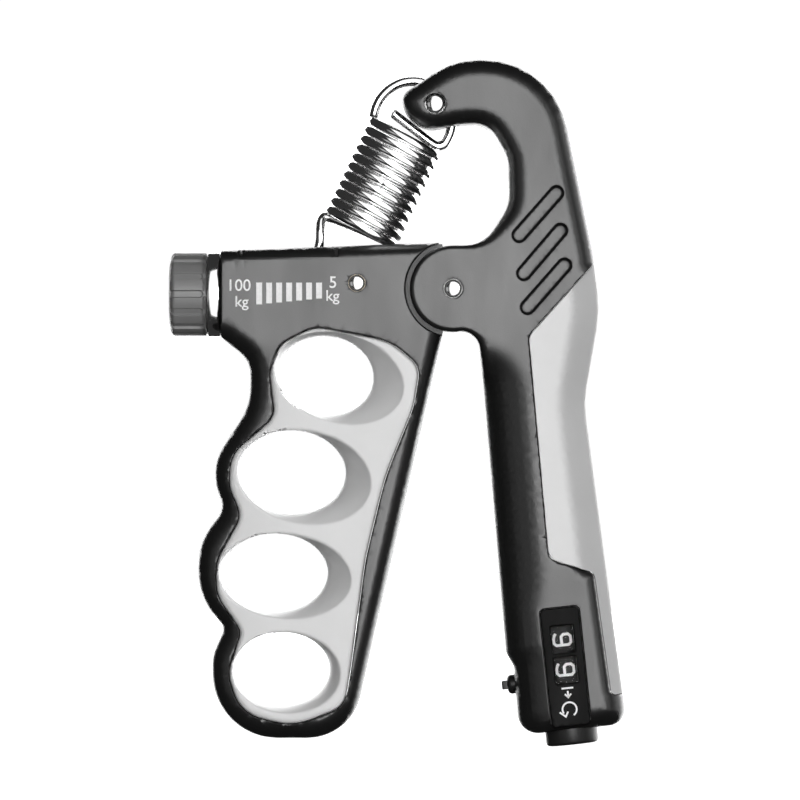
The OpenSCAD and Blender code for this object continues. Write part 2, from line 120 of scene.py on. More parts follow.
def counter_place():
    """Matrix from the counter's axes, in mm, to the row frame, in mm."""
    back = np.array([0, 1, 0])
    rows = [[COUNTER_X[i], back[i], COUNTER_UP[i], COUNTER_AT[i]] for i in range(3)]
    return Matrix(rows + [[0, 0, 0, 1]])


def local_box(node):
    """Lowest and highest corner of a node in the counter's axes."""
    v = vertices(node) - COUNTER_AT
    local = np.stack([v @ COUNTER_X, v[:, 1], v @ COUNTER_UP], 1)
    return local.min(0), local.max(0)


def from_counter(points):
    """[x, z] points of the counter's axes as [x, z] of the row frame."""
    points = np.asarray(points, float)
    across = points[:, :1] * COUNTER_X[[0, 2]]
    return COUNTER_AT[[0, 2]] + across + points[:, 1:] * COUNTER_UP[[0, 2]]


# ---------- outlines in [x, z], in millimetres ----------

def section(node, y):
    """Closed loops where a CAD node crosses the plane at y; the longest comes first."""
    mesh = frame["nodes"][node].data
    mesh.calc_loop_triangles()
    co = vertices(node)
    links = {}
    for tri in mesh.loop_triangles:
        corners = [tuple(co[i]) for i in tri.vertices]
        ends = []
        for k in range(3):
            lo, hi = sorted((corners[k], corners[(k + 1) % 3]))
            if (lo[1] > y) != (hi[1] > y):
                t = (y - lo[1]) / (hi[1] - lo[1])
                x = lo[0] + t * (hi[0] - lo[0])
                z = lo[2] + t * (hi[2] - lo[2])
                ends.append((round(x, 3), round(z, 3)))
        if len(ends) == 2 and ends[0] != ends[1]:
            links.setdefault(ends[0], []).append(ends[1])
            links.setdefault(ends[1], []).append(ends[0])
    loops = []
    while links:
        here = next(iter(links))
        loop = [here]
        while links.get(here):
            there = links[here].pop()
            links[there].remove(here)
            loop.append(there)
            here = there
        for point in loop:
            if point in links and not links[point]:
                del links[point]
        loops.append(tidy(loop))
    loops = [loop for loop in loops if len(loop) > 3]
    return sorted(loops, key=length, reverse=True)


def length(loop):
    return np.linalg.norm(np.roll(loop, -1, 0) - loop, axis=1).sum()


def area(loop):
    x, z = loop[:, 0], loop[:, 1]
    return 0.5 * (x * np.roll(z, -1) - z * np.roll(x, -1)).sum()


def turns(loop):
    """Signed turn at each point of a closed loop, in degrees."""
    after = np.roll(loop, -1, 0) - loop
    before = loop - np.roll(loop, 1, 0)
    cross = before[:, 0] * after[:, 1] - before[:, 1] * after[:, 0]
    return np.degrees(np.arctan2(cross, (before * after).sum(1)))


def tidy(loop):
    """Loop without near-equal or collinear points, turning anticlockwise."""
    kept = []
    for point in loop:
        if not kept or math.dist(point, kept[-1]) > 0.03:
            kept.append(point)
    if len(kept) > 1 and math.dist(kept[0], kept[-1]) <= 0.03:
        kept.pop()
    out = np.array(kept, float)
    if len(out) < 4:
        return out
    out = out[np.abs(turns(out)) > 0.4]
    return out if area(out) > 0 else out[::-1]


def normals(loop):
    """Inward unit normal and mitre length at each point of an anticlockwise loop."""
    after = np.roll(loop, -1, 0) - loop
    after /= np.maximum(np.linalg.norm(after, axis=1, keepdims=True), 1e-9)
    before = np.roll(after, 1, 0)
    inward = np.stack([-(after + before)[:, 1], (after + before)[:, 0]], 1)
    size = np.linalg.norm(inward, axis=1, keepdims=True)
    return inward / np.maximum(size, 1e-9), 2 / np.maximum(size[:, 0], 0.8)


def shifted(loop, inward):
    """Loop moved inwards by a distance, or outwards by a negative one."""
    n, mitre = normals(loop)
    return loop + n * (inward * mitre)[:, None]


def grown(loop, amounts):
    """Loop with each edge moved outwards by its own amount."""
    after = np.roll(loop, -1, 0) - loop
    after /= np.linalg.norm(after, axis=1, keepdims=True)
    out = np.stack([after[:, 1], -after[:, 0]], 1)
    moved = []
    for i in range(len(loop)):
        d0, d1 = after[i - 1], after[i]
        p0 = loop[i] + out[i - 1] * amounts[i - 1]
        p1 = loop[i] + out[i] * amounts[i]
        cross = d0[0] * d1[1] - d0[1] * d1[0]
        if abs(cross) < 0.02:
            moved.append((p0 + p1) / 2)
        else:
            gap = p1 - p0
            t = (gap[0] * d1[1] - gap[1] * d1[0]) / cross
            moved.append(p0 + d0 * t)
    return np.array(moved)


def guarded(loop, pinned):
    """Loop with extra points near the ends of long edges, so that a curve through it stays straight."""
    n = len(loop)
    size = np.linalg.norm(np.roll(loop, -1, 0) - loop, axis=1)
    points, pins, owner = [], [], []
    for i in range(n):
        a, b = loop[i], loop[(i + 1) % n]
        points.append(a)
        pins.append(pinned[i])
        owner.append(i)
        before, after = size[i - 1], size[(i + 1) % n]
        for near, reach in ((True, before), (False, after)):
            if size[i] > 2 * reach:
                t = min(reach / size[i], 0.33)
                points.append(a + (b - a) * (t if near else 1 - t))
                pins.append(False)
                owner.append(i)
    return np.array(points), pins, owner


def curve_between(p0, p1, p2, p3, step):
    """Smooth curve from p1 towards p2, one point a step, without p2 itself."""
    d = [max(math.sqrt(math.dist(a, b)), 1e-3) for a, b in ((p0, p1), (p1, p2), (p2, p3))]
    m1 = (p1 - p0) / d[0] - (p2 - p0) / (d[0] + d[1]) + (p2 - p1) / d[1]
    m2 = (p2 - p1) / d[1] - (p3 - p1) / (d[1] + d[2]) + (p3 - p2) / d[2]
    count = max(1, math.ceil(math.dist(p1, p2) / step))
    t = np.arange(count)[:, None] / count
    from_p1 = (2 * t ** 3 - 3 * t ** 2 + 1) * p1 + (t ** 3 - 2 * t ** 2 + t) * d[1] * m1
    return from_p1 + (3 * t ** 2 - 2 * t ** 3) * p2 + (t ** 3 - t ** 2) * d[1] * m2


def refined(loop, step=0.8, corner=28, flags=None):
    """Smooth closed curve through a loop, sharp corners kept, and the flag of each new edge."""
    flags = np.zeros(len(loop), bool) if flags is None else np.asarray(flags)
    pinned = (np.abs(turns(loop)) > corner) | (flags != np.roll(flags, 1))
    p, pins, owner = guarded(loop, pinned)
    n = len(p)
    out, out_flags = [], []
    for i in range(n):
        p1, p2 = p[i], p[(i + 1) % n]
        p0 = 2 * p1 - p2 if pins[i] else p[i - 1]
        p3 = 2 * p2 - p1 if pins[(i + 1) % n] else p[(i + 2) % n]
        out.append(curve_between(p0, p1, p2, p3, step))
        out_flags += [flags[owner[i]]] * len(out[-1])
    return np.vstack(out), np.array(out_flags)


def around(centre, r, angles):
    """Points at some angles on a circle."""
    return np.asarray(centre) + r * np.stack([np.cos(angles), np.sin(angles)], 1)


def ring(centre, r, count=64):
    return around(centre, r, np.arange(count) * 2 * math.pi / count)


def centre_of(points):
    return (points.min(0) + points.max(0)) / 2


def frame_of(x0, x1, z0, z1, r=0.0, steps=6):
    """Rectangle with round corners, anticlockwise."""
    if r <= 0:
        return np.array([[x0, z0], [x1, z0], [x1, z1], [x0, z1]], float)
    corners = ((x1 - r, z0 + r, -90), (x1 - r, z1 - r, 0), (x0 + r, z1 - r, 90), (x0 + r, z0 + r, 180))
    return np.vstack([around((x, z), r, np.radians(start + 90 * np.arange(steps + 1) / steps))
                      for x, z, start in corners])


def divided(loop, step=0.8, closed=True):
    """Loop or open run with its long edges cut into short ones."""
    loop = np.asarray(loop, float)
    out = []
    for a, b in zip(loop, np.roll(loop, -1, 0) if closed else loop[1:]):
        count = max(1, math.ceil(math.dist(a, b) / step))
        out += [a + (b - a) * k / count for k in range(count)]
    return np.array(out if closed else [*out, loop[-1]])


def box_of(x0, x1, z0, z1, step=2.5):
    """Rectangle with its long sides divided."""
    return divided(frame_of(x0, x1, z0, z1), step)


def counter_box(x0, x1, z0, z1, r=0.0, step=1.0):
    """Rectangle in the counter's axes as a loop of the row frame, with its long sides divided."""
    return from_counter(divided(frame_of(x0, x1, z0, z1, r), step))


def chunks(points, size=1200):
    for i in range(0, len(points), size):
        yield slice(i, i + size), points[i:i + size]


def inside(points, loops):
    """Whether each point is inside an odd number of loops."""
    odd = np.zeros(len(points), bool)
    for loop in loops:
        a, b = loop, np.roll(loop, -1, 0)
        rise = np.where(np.abs(b[:, 1] - a[:, 1]) < 1e-12, 1e-12, b[:, 1] - a[:, 1])
        for part, p in chunks(points):
            z = p[:, 1, None]
            across = (a[:, 1] > z) != (b[:, 1] > z)
            at = a[:, 0] + (z - a[:, 1]) * (b[:, 0] - a[:, 0]) / rise
            odd[part] ^= ((across & (p[:, 0, None] < at)).sum(1) % 2).astype(bool)
    return odd


def to_segments(points, a, b):
    """Chunk by chunk: the slice of points, their distances to each segment, and how far along they are."""
    ab = b - a
    size = np.maximum((ab ** 2).sum(1), 1e-12)
    for part, p in chunks(points):
        gap = p[:, None] - a
        t = np.clip((gap * ab).sum(2) / size, 0, 1)
        yield part, np.linalg.norm(gap - t[..., None] * ab, axis=2), t


def loop_distance(points, loop):
    """Distance to a closed loop, negative inside it."""
    out = np.zeros(len(points))
    for part, away, _ in to_segments(points, loop, np.roll(loop, -1, 0)):
        out[part] = away.min(1)
    return np.where(inside(points, [loop]), -out, out)


# ---------- moulded plates: a face whose height falls away round its rims ----------

def rim(loop, width, depth, keep=None, outward=False, flat=0.0):
    """Edges of a loop with the width and depth of their rounding. flat 1 makes it a plain slope."""
    n = len(loop)
    width = np.broadcast_to(np.asarray(width, float), n)
    depth = np.broadcast_to(np.asarray(depth, float), n)
    keep = np.ones(n, bool) if keep is None else np.asarray(keep)
    inward, _ = normals(loop)
    return {
        "a": loop[keep], "b": np.roll(loop, -1, 0)[keep], "n": (-inward if outward else inward)[keep],
        "wa": width[keep], "wb": np.roll(width, -1)[keep],
        "da": depth[keep], "db": np.roll(depth, -1)[keep],
        "flat": np.full(int(keep.sum()), float(flat)),
    }


def eased(values, passes=24):
    """Values round a loop, smoothed."""
    for _ in range(passes):
        values = (np.roll(values, 1) + 2 * values + np.roll(values, -1)) / 4
    return values


# How softly a plain slope runs out into the face
SLOPE_KNEE = 0.22


def rim_fall(points, rims):
    """How far the face falls at each point, and the nearness to a rim as a share of its width."""
    a, b = np.vstack([r["a"] for r in rims]), np.vstack([r["b"] for r in rims])
    wa, wb, da, db, flat = [np.concatenate([r[k] for r in rims]) for k in ("wa", "wb", "da", "db", "flat")]
    fall, near = np.zeros(len(points)), np.zeros(len(points))
    full_slope = math.hypot(1, SLOPE_KNEE) - SLOPE_KNEE
    for part, away, t in to_segments(points, a, b):
        level = away / (wa + (wb - wa) * t)
        reach = 1 - np.minimum(level, 1)
        slope = (np.sqrt(reach ** 2 + SLOPE_KNEE ** 2) - SLOPE_KNEE) / full_slope
        drop = (da + (db - da) * t) * (flat * slope + (1 - flat) * (1 - np.sqrt(1 - reach ** 2)))
        fall[part] = drop.max(1)
        near[part] = level.min(1)
    return fall, near


# Shares of a rim's width at which rings of points follow it, from the edge to just past the rounding
RING_SHARES = np.append(1 - np.cos(np.radians(np.arange(10, 91, 10))), 1.14)
# The same for the lip and the foot of a pocket
LIP_LEVELS = (1.0, 0.6, 0.3, 0.1)
FOOT_LEVELS = (0.2, 0.5, 1.0)
# In millimetres: how far a wall leans in, the slack when asking which side of a loop a point is on,
# the least gaps between free points and from them to a run, and how far off a known height still counts
WALL, SLACK = 0.07, 0.03
POINT_GAP, RUN_GAP, KNOWN_REACH = 0.22, 0.12, 0.15
# Width of the edge that the two halves of a moulding meet on, where their overlap stops
LAP_EDGE = 0.2
# Gap between the rows of the grid, as a share of the gap along them
ROW_SHARE = 0.87


def piece(name, points, faces, angle=32.0, weighted=False):
    """Mesh object from points in mm."""
    mesh = bpy.data.meshes.new(name)
    mesh.from_pydata([tuple(p) for p in np.asarray(points, float) * MM], [], faces)
    mesh.validate()
    mesh.update()
    mesh.shade_smooth()
    mesh.set_sharp_from_angle(angle=math.radians(angle))
    obj = bpy.data.objects.new(name, mesh)
    bpy.context.scene.collection.objects.link(obj)
    if weighted:
        even = obj.modifiers.new("even_shading", "WEIGHTED_NORMAL")
        even.mode = "FACE_AREA"
        even.keep_sharp = True
    return obj


def thinned(points, gap):
    """Points with close neighbours dropped."""
    seen, kept = set(), []
    for i, (x, z) in enumerate(points):
        cell = (round(x / gap), round(z / gap))
        if cell not in seen:
            seen.add(cell)
            kept.append(i)
    return points[kept]


def rim_points(rims):
    """Rows of points along each rounding, without those that come nearer to another rim."""
    rows = [(r["a"] + r["n"] * (r["wa"] * share)[:, None], min(share, 1.0))
            for r in rims for share in RING_SHARES]
    points = np.vstack([row for row, _ in rows])
    shares = np.concatenate([np.full(len(row), share) for row, share in rows])
    return points[rim_fall(points, rims)[1] > shares - SLACK]


def grid_points(outer, grid):
    """Points of a triangular grid over a loop's box."""
    lo, hi = outer.min(0), outer.max(0)
    xs, zs = np.arange(lo[0], hi[0], grid), np.arange(lo[1], hi[1], grid * ROW_SHARE)
    return np.array([[x + (grid / 2 if j % 2 else 0), z] for j, z in enumerate(zs) for x in xs])


def away_from(points, runs, known):
    """Points that keep clear of every run and of the places whose height is known."""
    clear = np.full(len(points), np.inf)
    for run, closed in runs:
        stop = len(run) if closed else -1
        for part, away, _ in to_segments(points, run[:stop], np.roll(run, -1, 0)[:stop]):
            clear[part] = np.minimum(clear[part], away.min(1))
    points = points[clear > RUN_GAP]
    for run, _ in known:
        points = points[~inside(points, [run])]
    return points


def triangulated(bounds, runs, free):
    """Points and triangles of the flat shape, with edges along every run."""
    edges, start = [], 0
    for points, closed in runs:
        n = len(points)
        edges += [(start + k, start + (k + 1) % n) for k in range(n if closed else n - 1)]
        start += n
    everything = np.vstack([points for points, _ in runs] + [free])
    result = delaunay_2d_cdt([Vector(p) for p in everything], edges, [], 0, 1e-4)
    flat = np.array([v[:] for v in result[0]])
    tris = np.array([f for f in result[2] if len(f) == 3])
    return flat, tris[inside(flat[tris].mean(1), bounds)]


def face_heights(flat, rims, level, pockets, known):
    """Height of the outer face at each point."""
    top = (level(flat) if callable(level) else np.full(len(flat), float(level))) - rim_fall(flat, rims)[0]
    for loop, floor, lip, foot in pockets:
        s = loop_distance(flat, loop)
        if lip > 0:
            edge = np.clip(1 - s / lip, 0, 1)
            top = np.where(s >= -SLACK, top - lip * (1 - np.sqrt(1 - edge ** 2)), top)
        rise = np.clip(1 + (s + WALL) / foot, 0, 1) if foot > 0 else 0.0
        top = np.where(s < -SLACK, np.minimum(top, floor + foot * (1 - np.sqrt(1 - rise ** 2))), top)
    if known:
        places, heights = [np.concatenate(both) for both in zip(*known)]
        for part, p in chunks(flat):
            gap = np.linalg.norm(p[:, None] - places, axis=2)
            top[part] = np.where(gap.min(1) < KNOWN_REACH, heights[gap.argmin(1)], top[part])
    return top


def inner_heights(flat, outer, base, lap, steps):
    """Height of the inner face at each point."""
    bottom = np.full(len(flat), float(base))
    if lap:
        bottom[np.abs(loop_distance(flat, outer)) > LAP_EDGE] -= lap
    for loop, height in steps:
        value = height(flat) if callable(height) else height
        bottom = np.where(loop_distance(flat, loop) < -SLACK, np.maximum(bottom, value), bottom)
    return bottom


def plate(name, outer, holes, rims, level, side=-1, base=0.0, lap=0.0, mirror=False, pockets=(), steps=(),
          lines=(), known=(), grid=2.2):
    """Moulded solid between a rounded face and the middle plane, or its mirror image.

    pockets are (loop, floor, lip radius, foot radius), steps are (loop, height of the inner face or a
    function for it), lines are open runs of points that carry curvature, and known are (points, heights)
    of the face."""
    bounds = [outer, *holes]
    rings = list(bounds)
    for loop, _, lip, foot in pockets:
        rings += [shifted(loop, -lip * share) for share in LIP_LEVELS if lip > 0]
        rings += [loop, shifted(loop, WALL)]
        rings += [shifted(loop, WALL + foot * share) for share in FOOT_LEVELS if foot > 0]
    for loop, _ in steps:
        rings += [loop, shifted(loop, WALL)]
    runs = [(loop, True) for loop in rings] + [(line, False) for line in lines]
    runs += [(points, True) for points, _ in known]
    free = np.vstack([rim_points(rims), grid_points(outer, grid)])
    free = away_from(thinned(free[inside(free, bounds)], POINT_GAP), runs, known)
    flat, tris = triangulated(bounds, runs, free)
    top = face_heights(flat, rims, level, pockets, known)
    bottom = -top if mirror else np.minimum(inner_heights(flat, outer, base, lap, steps), top - 0.05)

    used, index = np.unique(tris, return_inverse=True)
    n = len(used)
    front, back = [np.stack([flat[used, 0], side * y[used], flat[used, 1]], 1) for y in (top, bottom)]
    faces, free_edges = [], {}
    for a, b, c in index.reshape(tris.shape).tolist():
        if side > 0:
            b, c = c, b
        faces += [(a, b, c), (n + a, n + c, n + b)]
        for edge in ((a, b), (b, c), (c, a)):
            if not free_edges.pop(edge[::-1], False):
                free_edges[edge] = True
    faces += [(b, a, n + a, n + b) for a, b in free_edges]
    return piece(name, np.vstack([front, back]), faces, weighted=True)


# ---------- turned and drawn pieces ----------

def along_x(x=0.0, y=0.0, z=0.0):
    """Place whose axis runs along +X."""
    return Matrix(((0, 0, 1, x), (1, 0, 0, y), (0, 1, 0, z), (0, 0, 0, 1)))


def along_y(x, z, side=1):
    """Place whose axis runs along +Y, or -Y."""
    return Matrix(((side, 0, 0, x), (0, 0, side, 0), (0, -1, 0, z), (0, 0, 0, 1)))


def turned(name, profile, place, count=64, radius=None, angle=32.0):
    """Solid of revolution from (station, radius) points on the local z axis.

    radius(angle, station, r) may shape it."""
    points, faces, rows = [], [], []
    for station, r in profile:
        if r <= 0:
            rows.append([len(points)])
            points.append((0, 0, station))
            continue
        rows.append(list(range(len(points), len(points) + count)))
        for k in range(count):
            a = 2 * math.pi * k / count
            reach = radius(a, station, r) if radius else r
            points.append((reach * math.cos(a), reach * math.sin(a), station))
    for low, high in zip(rows, rows[1:]):
        for k in range(count):
            j = (k + 1) % count
            corners = [row[i % len(row)] for row, i in ((low, k), (low, j), (high, j), (high, k))]
            faces.append(tuple(dict.fromkeys(corners)))
    return piece(name, [place @ Vector(p) for p in points], faces, angle)


def mirrored(profile, ends):
    """Profile followed by its mirror image, for a piece whose end stations add up to a number."""
    return profile + [(ends - s, r) for s, r in reversed(profile)]


def arc_profile(s0, r0, s1, r1, count):
    """Quarter-round run of (station, radius) from (s0, r0) to (s1, r1), leaving along the radius."""
    return [(s0 + (s1 - s0) * (1 - math.cos(a)), r0 + (r1 - r0) * math.sin(a))
            for a in np.radians(90 * np.arange(count + 1) / count)]


# How far a wire's end stands out, as a share of its radius
TIP_ROUND = 0.5


def wire(name, path, radius, sides=14):
    """Round wire along a path, with rounded ends."""
    path = np.asarray(path, float)
    tangent = np.gradient(path, axis=0)
    tangent /= np.linalg.norm(tangent, axis=1, keepdims=True)
    across = np.cross(tangent[0], [0.3, 0.9, 0.1])
    rings = []
    for at, t in zip(path, tangent):
        across = across - t * (across @ t)
        across /= np.linalg.norm(across)
        rings.append((at, t, across, np.cross(t, across)))
    tips = [(share, math.cos(math.asin(share)) * TIP_ROUND) for share in (0.35, 0.8)]
    shells = [(rings[0], -ahead, share) for share, ahead in tips]
    shells += [(r, 0.0, 1.0) for r in rings]
    shells += [(rings[-1], ahead, share) for share, ahead in reversed(tips)]
    points, faces = [], []
    for (at, t, u, v), ahead, share in shells:
        for k in range(sides):
            a = 2 * math.pi * k / sides
            points.append(at + t * ahead * radius + radius * share * (math.cos(a) * u + math.sin(a) * v))
    for i in range(len(shells) - 1):
        for k in range(sides):
            j = (k + 1) % sides
            faces.append((i * sides + k, i * sides + j, (i + 1) * sides + j, (i + 1) * sides + k))
    faces.append(tuple(reversed(range(sides))))
    faces.append(tuple(range((len(shells) - 1) * sides, len(shells) * sides)))
    return piece(name, points, faces, 50)


def smooth_path(points, step=0.25):
    """Curve through given points."""
    p = np.asarray(points, float)
    p = np.vstack([2 * p[0] - p[1], p, 2 * p[-1] - p[-2]])
    runs = [curve_between(*p[i - 1:i + 3], step) for i in range(1, len(p) - 2)]
    return np.vstack([*runs, p[-2:-1]])


def strokes(name, runs, width, place, thickness=0.03, step=0.5):
    """Flat printed strokes. runs are (points, closed); place turns (u, v, lift) into a row point."""
    points, faces = [], []
    for run, closed in runs:
        fine = divided(run, step, closed)
        ahead = np.roll(fine, -1, 0) - fine
        ahead /= np.maximum(np.linalg.norm(ahead, axis=1, keepdims=True), 1e-9)
        behind = np.roll(ahead, 1, 0)
        if not closed:
            ahead[-1] = behind[-1]
            behind[0] = ahead[0]
        side = np.stack([-(ahead + behind)[:, 1], (ahead + behind)[:, 0]], 1)
        size = np.linalg.norm(side, axis=1, keepdims=True)
        side = side / size * np.minimum(2 / size, 1.5) * width / 2
        start, n = len(points), len(fine)
        for p, s in zip(fine, side):
            for at, lift in ((p - s, 0), (p + s, 0), (p + s, thickness), (p - s, thickness)):
                points.append(place(at[0], at[1], lift))
        for i in range(n if closed else n - 1):
            a, b = start + 4 * i, start + 4 * ((i + 1) % n)
            faces += [(a + k, a + m, b + m, b + k) for k, m in ((0, 1), (1, 2), (2, 3), (3, 0))]
        if not closed:
            end = start + 4 * (n - 1)
            faces += [(start + 3, start + 2, start + 1, start), (end, end + 1, end + 2, end + 3)]
    return piece(name, points, faces, 20)


def lettering(name, text, height, centre, face_y, weight=0.03):
    """Printed characters standing just off the front face, centred on [x, z]."""
    curve = bpy.data.curves.new(name, "FONT")
    curve.body = text
    curve.size = height * MM / 0.7
    curve.offset = weight * MM
    curve.extrude = 0.015 * MM
    curve.align_x = "CENTER"
    maker = bpy.data.objects.new(name + "_maker", curve)
    bpy.context.scene.collection.objects.link(maker)
    bpy.context.view_layer.update()
    mesh = bpy.data.meshes.new_from_object(maker.evaluated_get(bpy.context.evaluated_depsgraph_get()))
    bpy.data.objects.remove(maker)
    mesh.transform(Matrix(((1, 0, 0, 0), (0, 0, -1, 0), (0, 1, 0, 0), (0, 0, 0, 1))))
    x, _, z = centre_of(np.array([v.co for v in mesh.vertices]))
    mesh.transform(Matrix.Translation((centre[0] * MM - x, -face_y * MM, centre[1] * MM - z)))
    mesh.name = name
    obj = bpy.data.objects.new(name, mesh)
    bpy.context.scene.collection.objects.link(obj)
    return obj


# ---------- materials ----------

class Look:
    """Small helper for building a node material."""

    def __init__(self, name, **settings):
        self.name = name
        self.mat = bpy.data.materials.new(name)
        self.mat.use_nodes = True
        self.tree = self.mat.node_tree
        self.shader = self.tree.nodes["Principled BSDF"]
        for key, value in settings.items():
            self.shader.inputs[key.replace("_", " ").title().replace("Ior", "IOR")].default_value = value
        self.coords = self.tree.nodes.new("ShaderNodeTexCoord").outputs["Object"]

    def node(self, kind, **inputs):
        made = self.tree.nodes.new(kind)
        for key, value in inputs.items():
            socket = made.inputs[key.replace("_", " ")]
            if isinstance(value, bpy.types.NodeSocket):
                self.tree.links.new(value, socket)
            else:
                socket.default_value = value
        return made

    def noise(self, scale, detail=3.0, roughness=0.5, stretch=None):
        at = self.coords
        if stretch:
            at = self.node("ShaderNodeMapping", Vector=at, Scale=stretch).outputs["Vector"]
        made = self.node("ShaderNodeTexNoise", Vector=at, Scale=scale, Detail=detail, Roughness=roughness)
        return made.outputs["Fac"]

    def span(self, value, low, high, start=0.0, stop=1.0):
        made = self.tree.nodes.new("ShaderNodeMapRange")
        self.tree.links.new(value, made.inputs["Value"])
        for key, number in (("From Min", start), ("From Max", stop), ("To Min", low), ("To Max", high)):
            made.inputs[key].default_value = number
        return made.outputs["Result"]

    def ramp(self, value, stops):
        made = self.tree.nodes.new("ShaderNodeValToRGB")
        self.tree.links.new(value, made.inputs["Fac"])
        ramp = made.color_ramp
        while len(ramp.elements) < len(stops):
            ramp.elements.new(0.5)
        for element, (at, colour) in zip(ramp.elements, stops):
            element.position = at
            element.color = (*colour, 1)
        return made.outputs["Color"]

    def join(self, value, socket):
        self.tree.links.new(value, self.shader.inputs[socket])

    def bump(self, height, distance, strength):
        made = self.node("ShaderNodeBump", Height=height, Distance=distance, Strength=strength)
        self.join(made.outputs["Normal"], "Normal")


def grey(value):
    return (value, value, value)


def moulded(name, shade, rough, grain=2600.0, relief=0.00002, patch=0.06, specular=0.5, spread=0.08):
    """Moulded plastic: fine grain, cloudy colour, faint rub marks that change the gloss."""
    look = Look(name, roughness=rough, specular_ior_level=specular)
    cloud = look.noise(55.0, 4.0, 0.6)
    low, high = [tuple(c * share for c in shade) for share in (1 - patch, 1 + patch)]
    look.join(look.ramp(cloud, [(0.3, low), (0.7, high)]), "Base Color")
    rubbed = look.noise(90.0, 6.0, 0.65, (1.0, 1.0, 0.25))
    look.join(look.span(rubbed, rough - spread, rough + spread, 0.3, 0.7), "Roughness")
    fine = look.noise(grain, 2.0, 0.5)
    look.bump(fine, relief, 0.55)
    return look


def metal(name, shade, rough, scale=900.0, relief=0.000004, patch=0.08):
    """Polished metal with fine marks."""
    look = Look(name, metallic=1.0, roughness=rough)
    cloud = look.noise(160.0, 4.0, 0.6)
    low = tuple(c * (1 - patch) for c in shade)
    look.join(look.ramp(cloud, [(0.3, low), (0.7, shade)]), "Base Color")
    marks = look.noise(scale, 3.0, 0.6)
    look.join(look.span(marks, rough * 0.7, rough * 1.4, 0.3, 0.7), "Roughness")
    look.bump(marks, relief, 0.4)
    return look


def print_ink(name):
    """White pad-printed ink, a little uneven."""
    look = Look(name, roughness=0.45)
    cloud = look.noise(1500.0, 3.0, 0.6)
    look.join(look.ramp(cloud, [(0.3, grey(0.86)), (0.6, grey(0.97))]), "Base Color")
    look.bump(cloud, 0.00001, 0.3)
    return look


def clear_lens(name):
    """Clear plastic with faint smudges."""
    look = Look(name, roughness=0.04, transmission_weight=1.0, ior=1.06)
    smudge = look.noise(240.0, 4.0, 0.6)
    look.join(look.span(smudge, 0.01, 0.1, 0.35, 0.75), "Roughness")
    look.join(look.ramp(smudge, [(0.2, grey(0.96)), (0.8, grey(1.0))]), "Base Color")
    return look


LOOKS = {look.name: look.mat for look in (
    moulded("shell_grey", grey(0.012), 0.4, specular=1.0, patch=0.1, spread=0.03),
    moulded("insert_grey", grey(0.8), 0.42, patch=0.03, spread=0.05),
    moulded("pad_grey", grey(0.8), 0.45, grain=1800.0, relief=0.00003, patch=0.03, spread=0.05),
    moulded("knob_dark", grey(0.32), 0.42, specular=0.8),
    moulded("reset_black", grey(0.02), 0.42, specular=0.8),
    moulded("black_plastic", grey(0.02), 0.4),
    moulded("faceplate_black", grey(0.008), 0.45, patch=0.15, specular=0.08),
    moulded("wheel_black", grey(0.03), 0.5, patch=0.12, specular=0.2),
    moulded("white_plastic", grey(0.72), 0.45),
    metal("chrome", grey(0.95), 0.13, scale=500.0, relief=0.000001),
    metal("steel", grey(0.62), 0.3),
    metal("spring_steel", grey(0.95), 0.14, scale=600.0, relief=0.000001),
    metal("brass", (0.62, 0.54, 0.42), 0.3),
    metal("screw_black", grey(0.09), 0.38),
    clear_lens("window_clear"),
    print_ink("print_white"),
)}
# Looks that fill another look's slot of the record
SLOTS = {"print_white": "white_plastic", "reset_black": "black_plastic"}

# Groups of pieces that have a light of their own
LIT = {
    "bright_metal": ("chrome", "spring_steel"),
    "pale_pad": ("pad_grey",),
    "pale_insert": ("insert_grey", "print_white"),
}
GROUPS = {name: bpy.data.collections.new(name) for name in LIT}


def fit(obj, look, body, replaces=()):
    """Gives a piece its material, its light group and its body, and hides the CAD nodes it stands for."""
    obj.data.materials.clear()
    obj.data.materials.append(LOOKS[look])
    for group, looks in LIT.items():
        if look in looks:
            GROUPS[group].objects.link(obj)
    if body:
        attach(obj, body)
    SLOTS.get(look, look)
    if replaces:
        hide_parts(*replaces)
    return obj


# ---------- finger handle ----------

# Depths at which the finger handle is cut for its full outline, and for the outlines in its face
GRIP_SEAM_Y, GRIP_FACE_Y = 5.5, 9.0


def zoned(loop, default, zones):
    """Rounding width and depth along a loop, from the last zone whose test holds, then eased."""
    width, depth = np.full(len(loop), default[0]), np.full(len(loop), default[1])
    for test, w, d in zones:
        hit = test(loop[:, 0], loop[:, 1])
        width[hit], depth[hit] = w, d
    return eased(width), eased(depth)


def grip_level(points):
    """Face height of the finger handle: flat on the barrel, falling a little towards the finger lobes."""
    x, z = points[:, 0], points[:, 1]
    middle_x = BARREL_PIN[0] - 3 - (SCREW_Z - z) * 0.17
    lean = np.clip((middle_x - x) / 24, 0, 1) ** 2
    below = np.clip((SCREW_Z - 10 - z) / 12, 0, 1)
    return GRIP_HALF - 1.7 * lean * below ** 2 * (3 - 2 * below)


# How far each half of a moulding stops short of the middle plane, and how far it reaches back inside
HALF_GAP = 0.1
LAP = {-1: 0.0, 1: 0.17}
# The seats the screw heads lie in: radius, and depth below the heads' tops
SEAT_R, SEAT_DEPTH = 2.45, 2.0


def screw_seats(loops, screws, pins):
    """Pockets for the screw heads at the loops that don't belong to one of the pins."""
    spots = [centre_of(loop) for loop in loops]
    return [(ring(at, SEAT_R, 40), highs(screws)[1] - SEAT_DEPTH, 0.35, 0)
            for at in spots if min(math.dist(at, pin) for pin in pins) > 3]


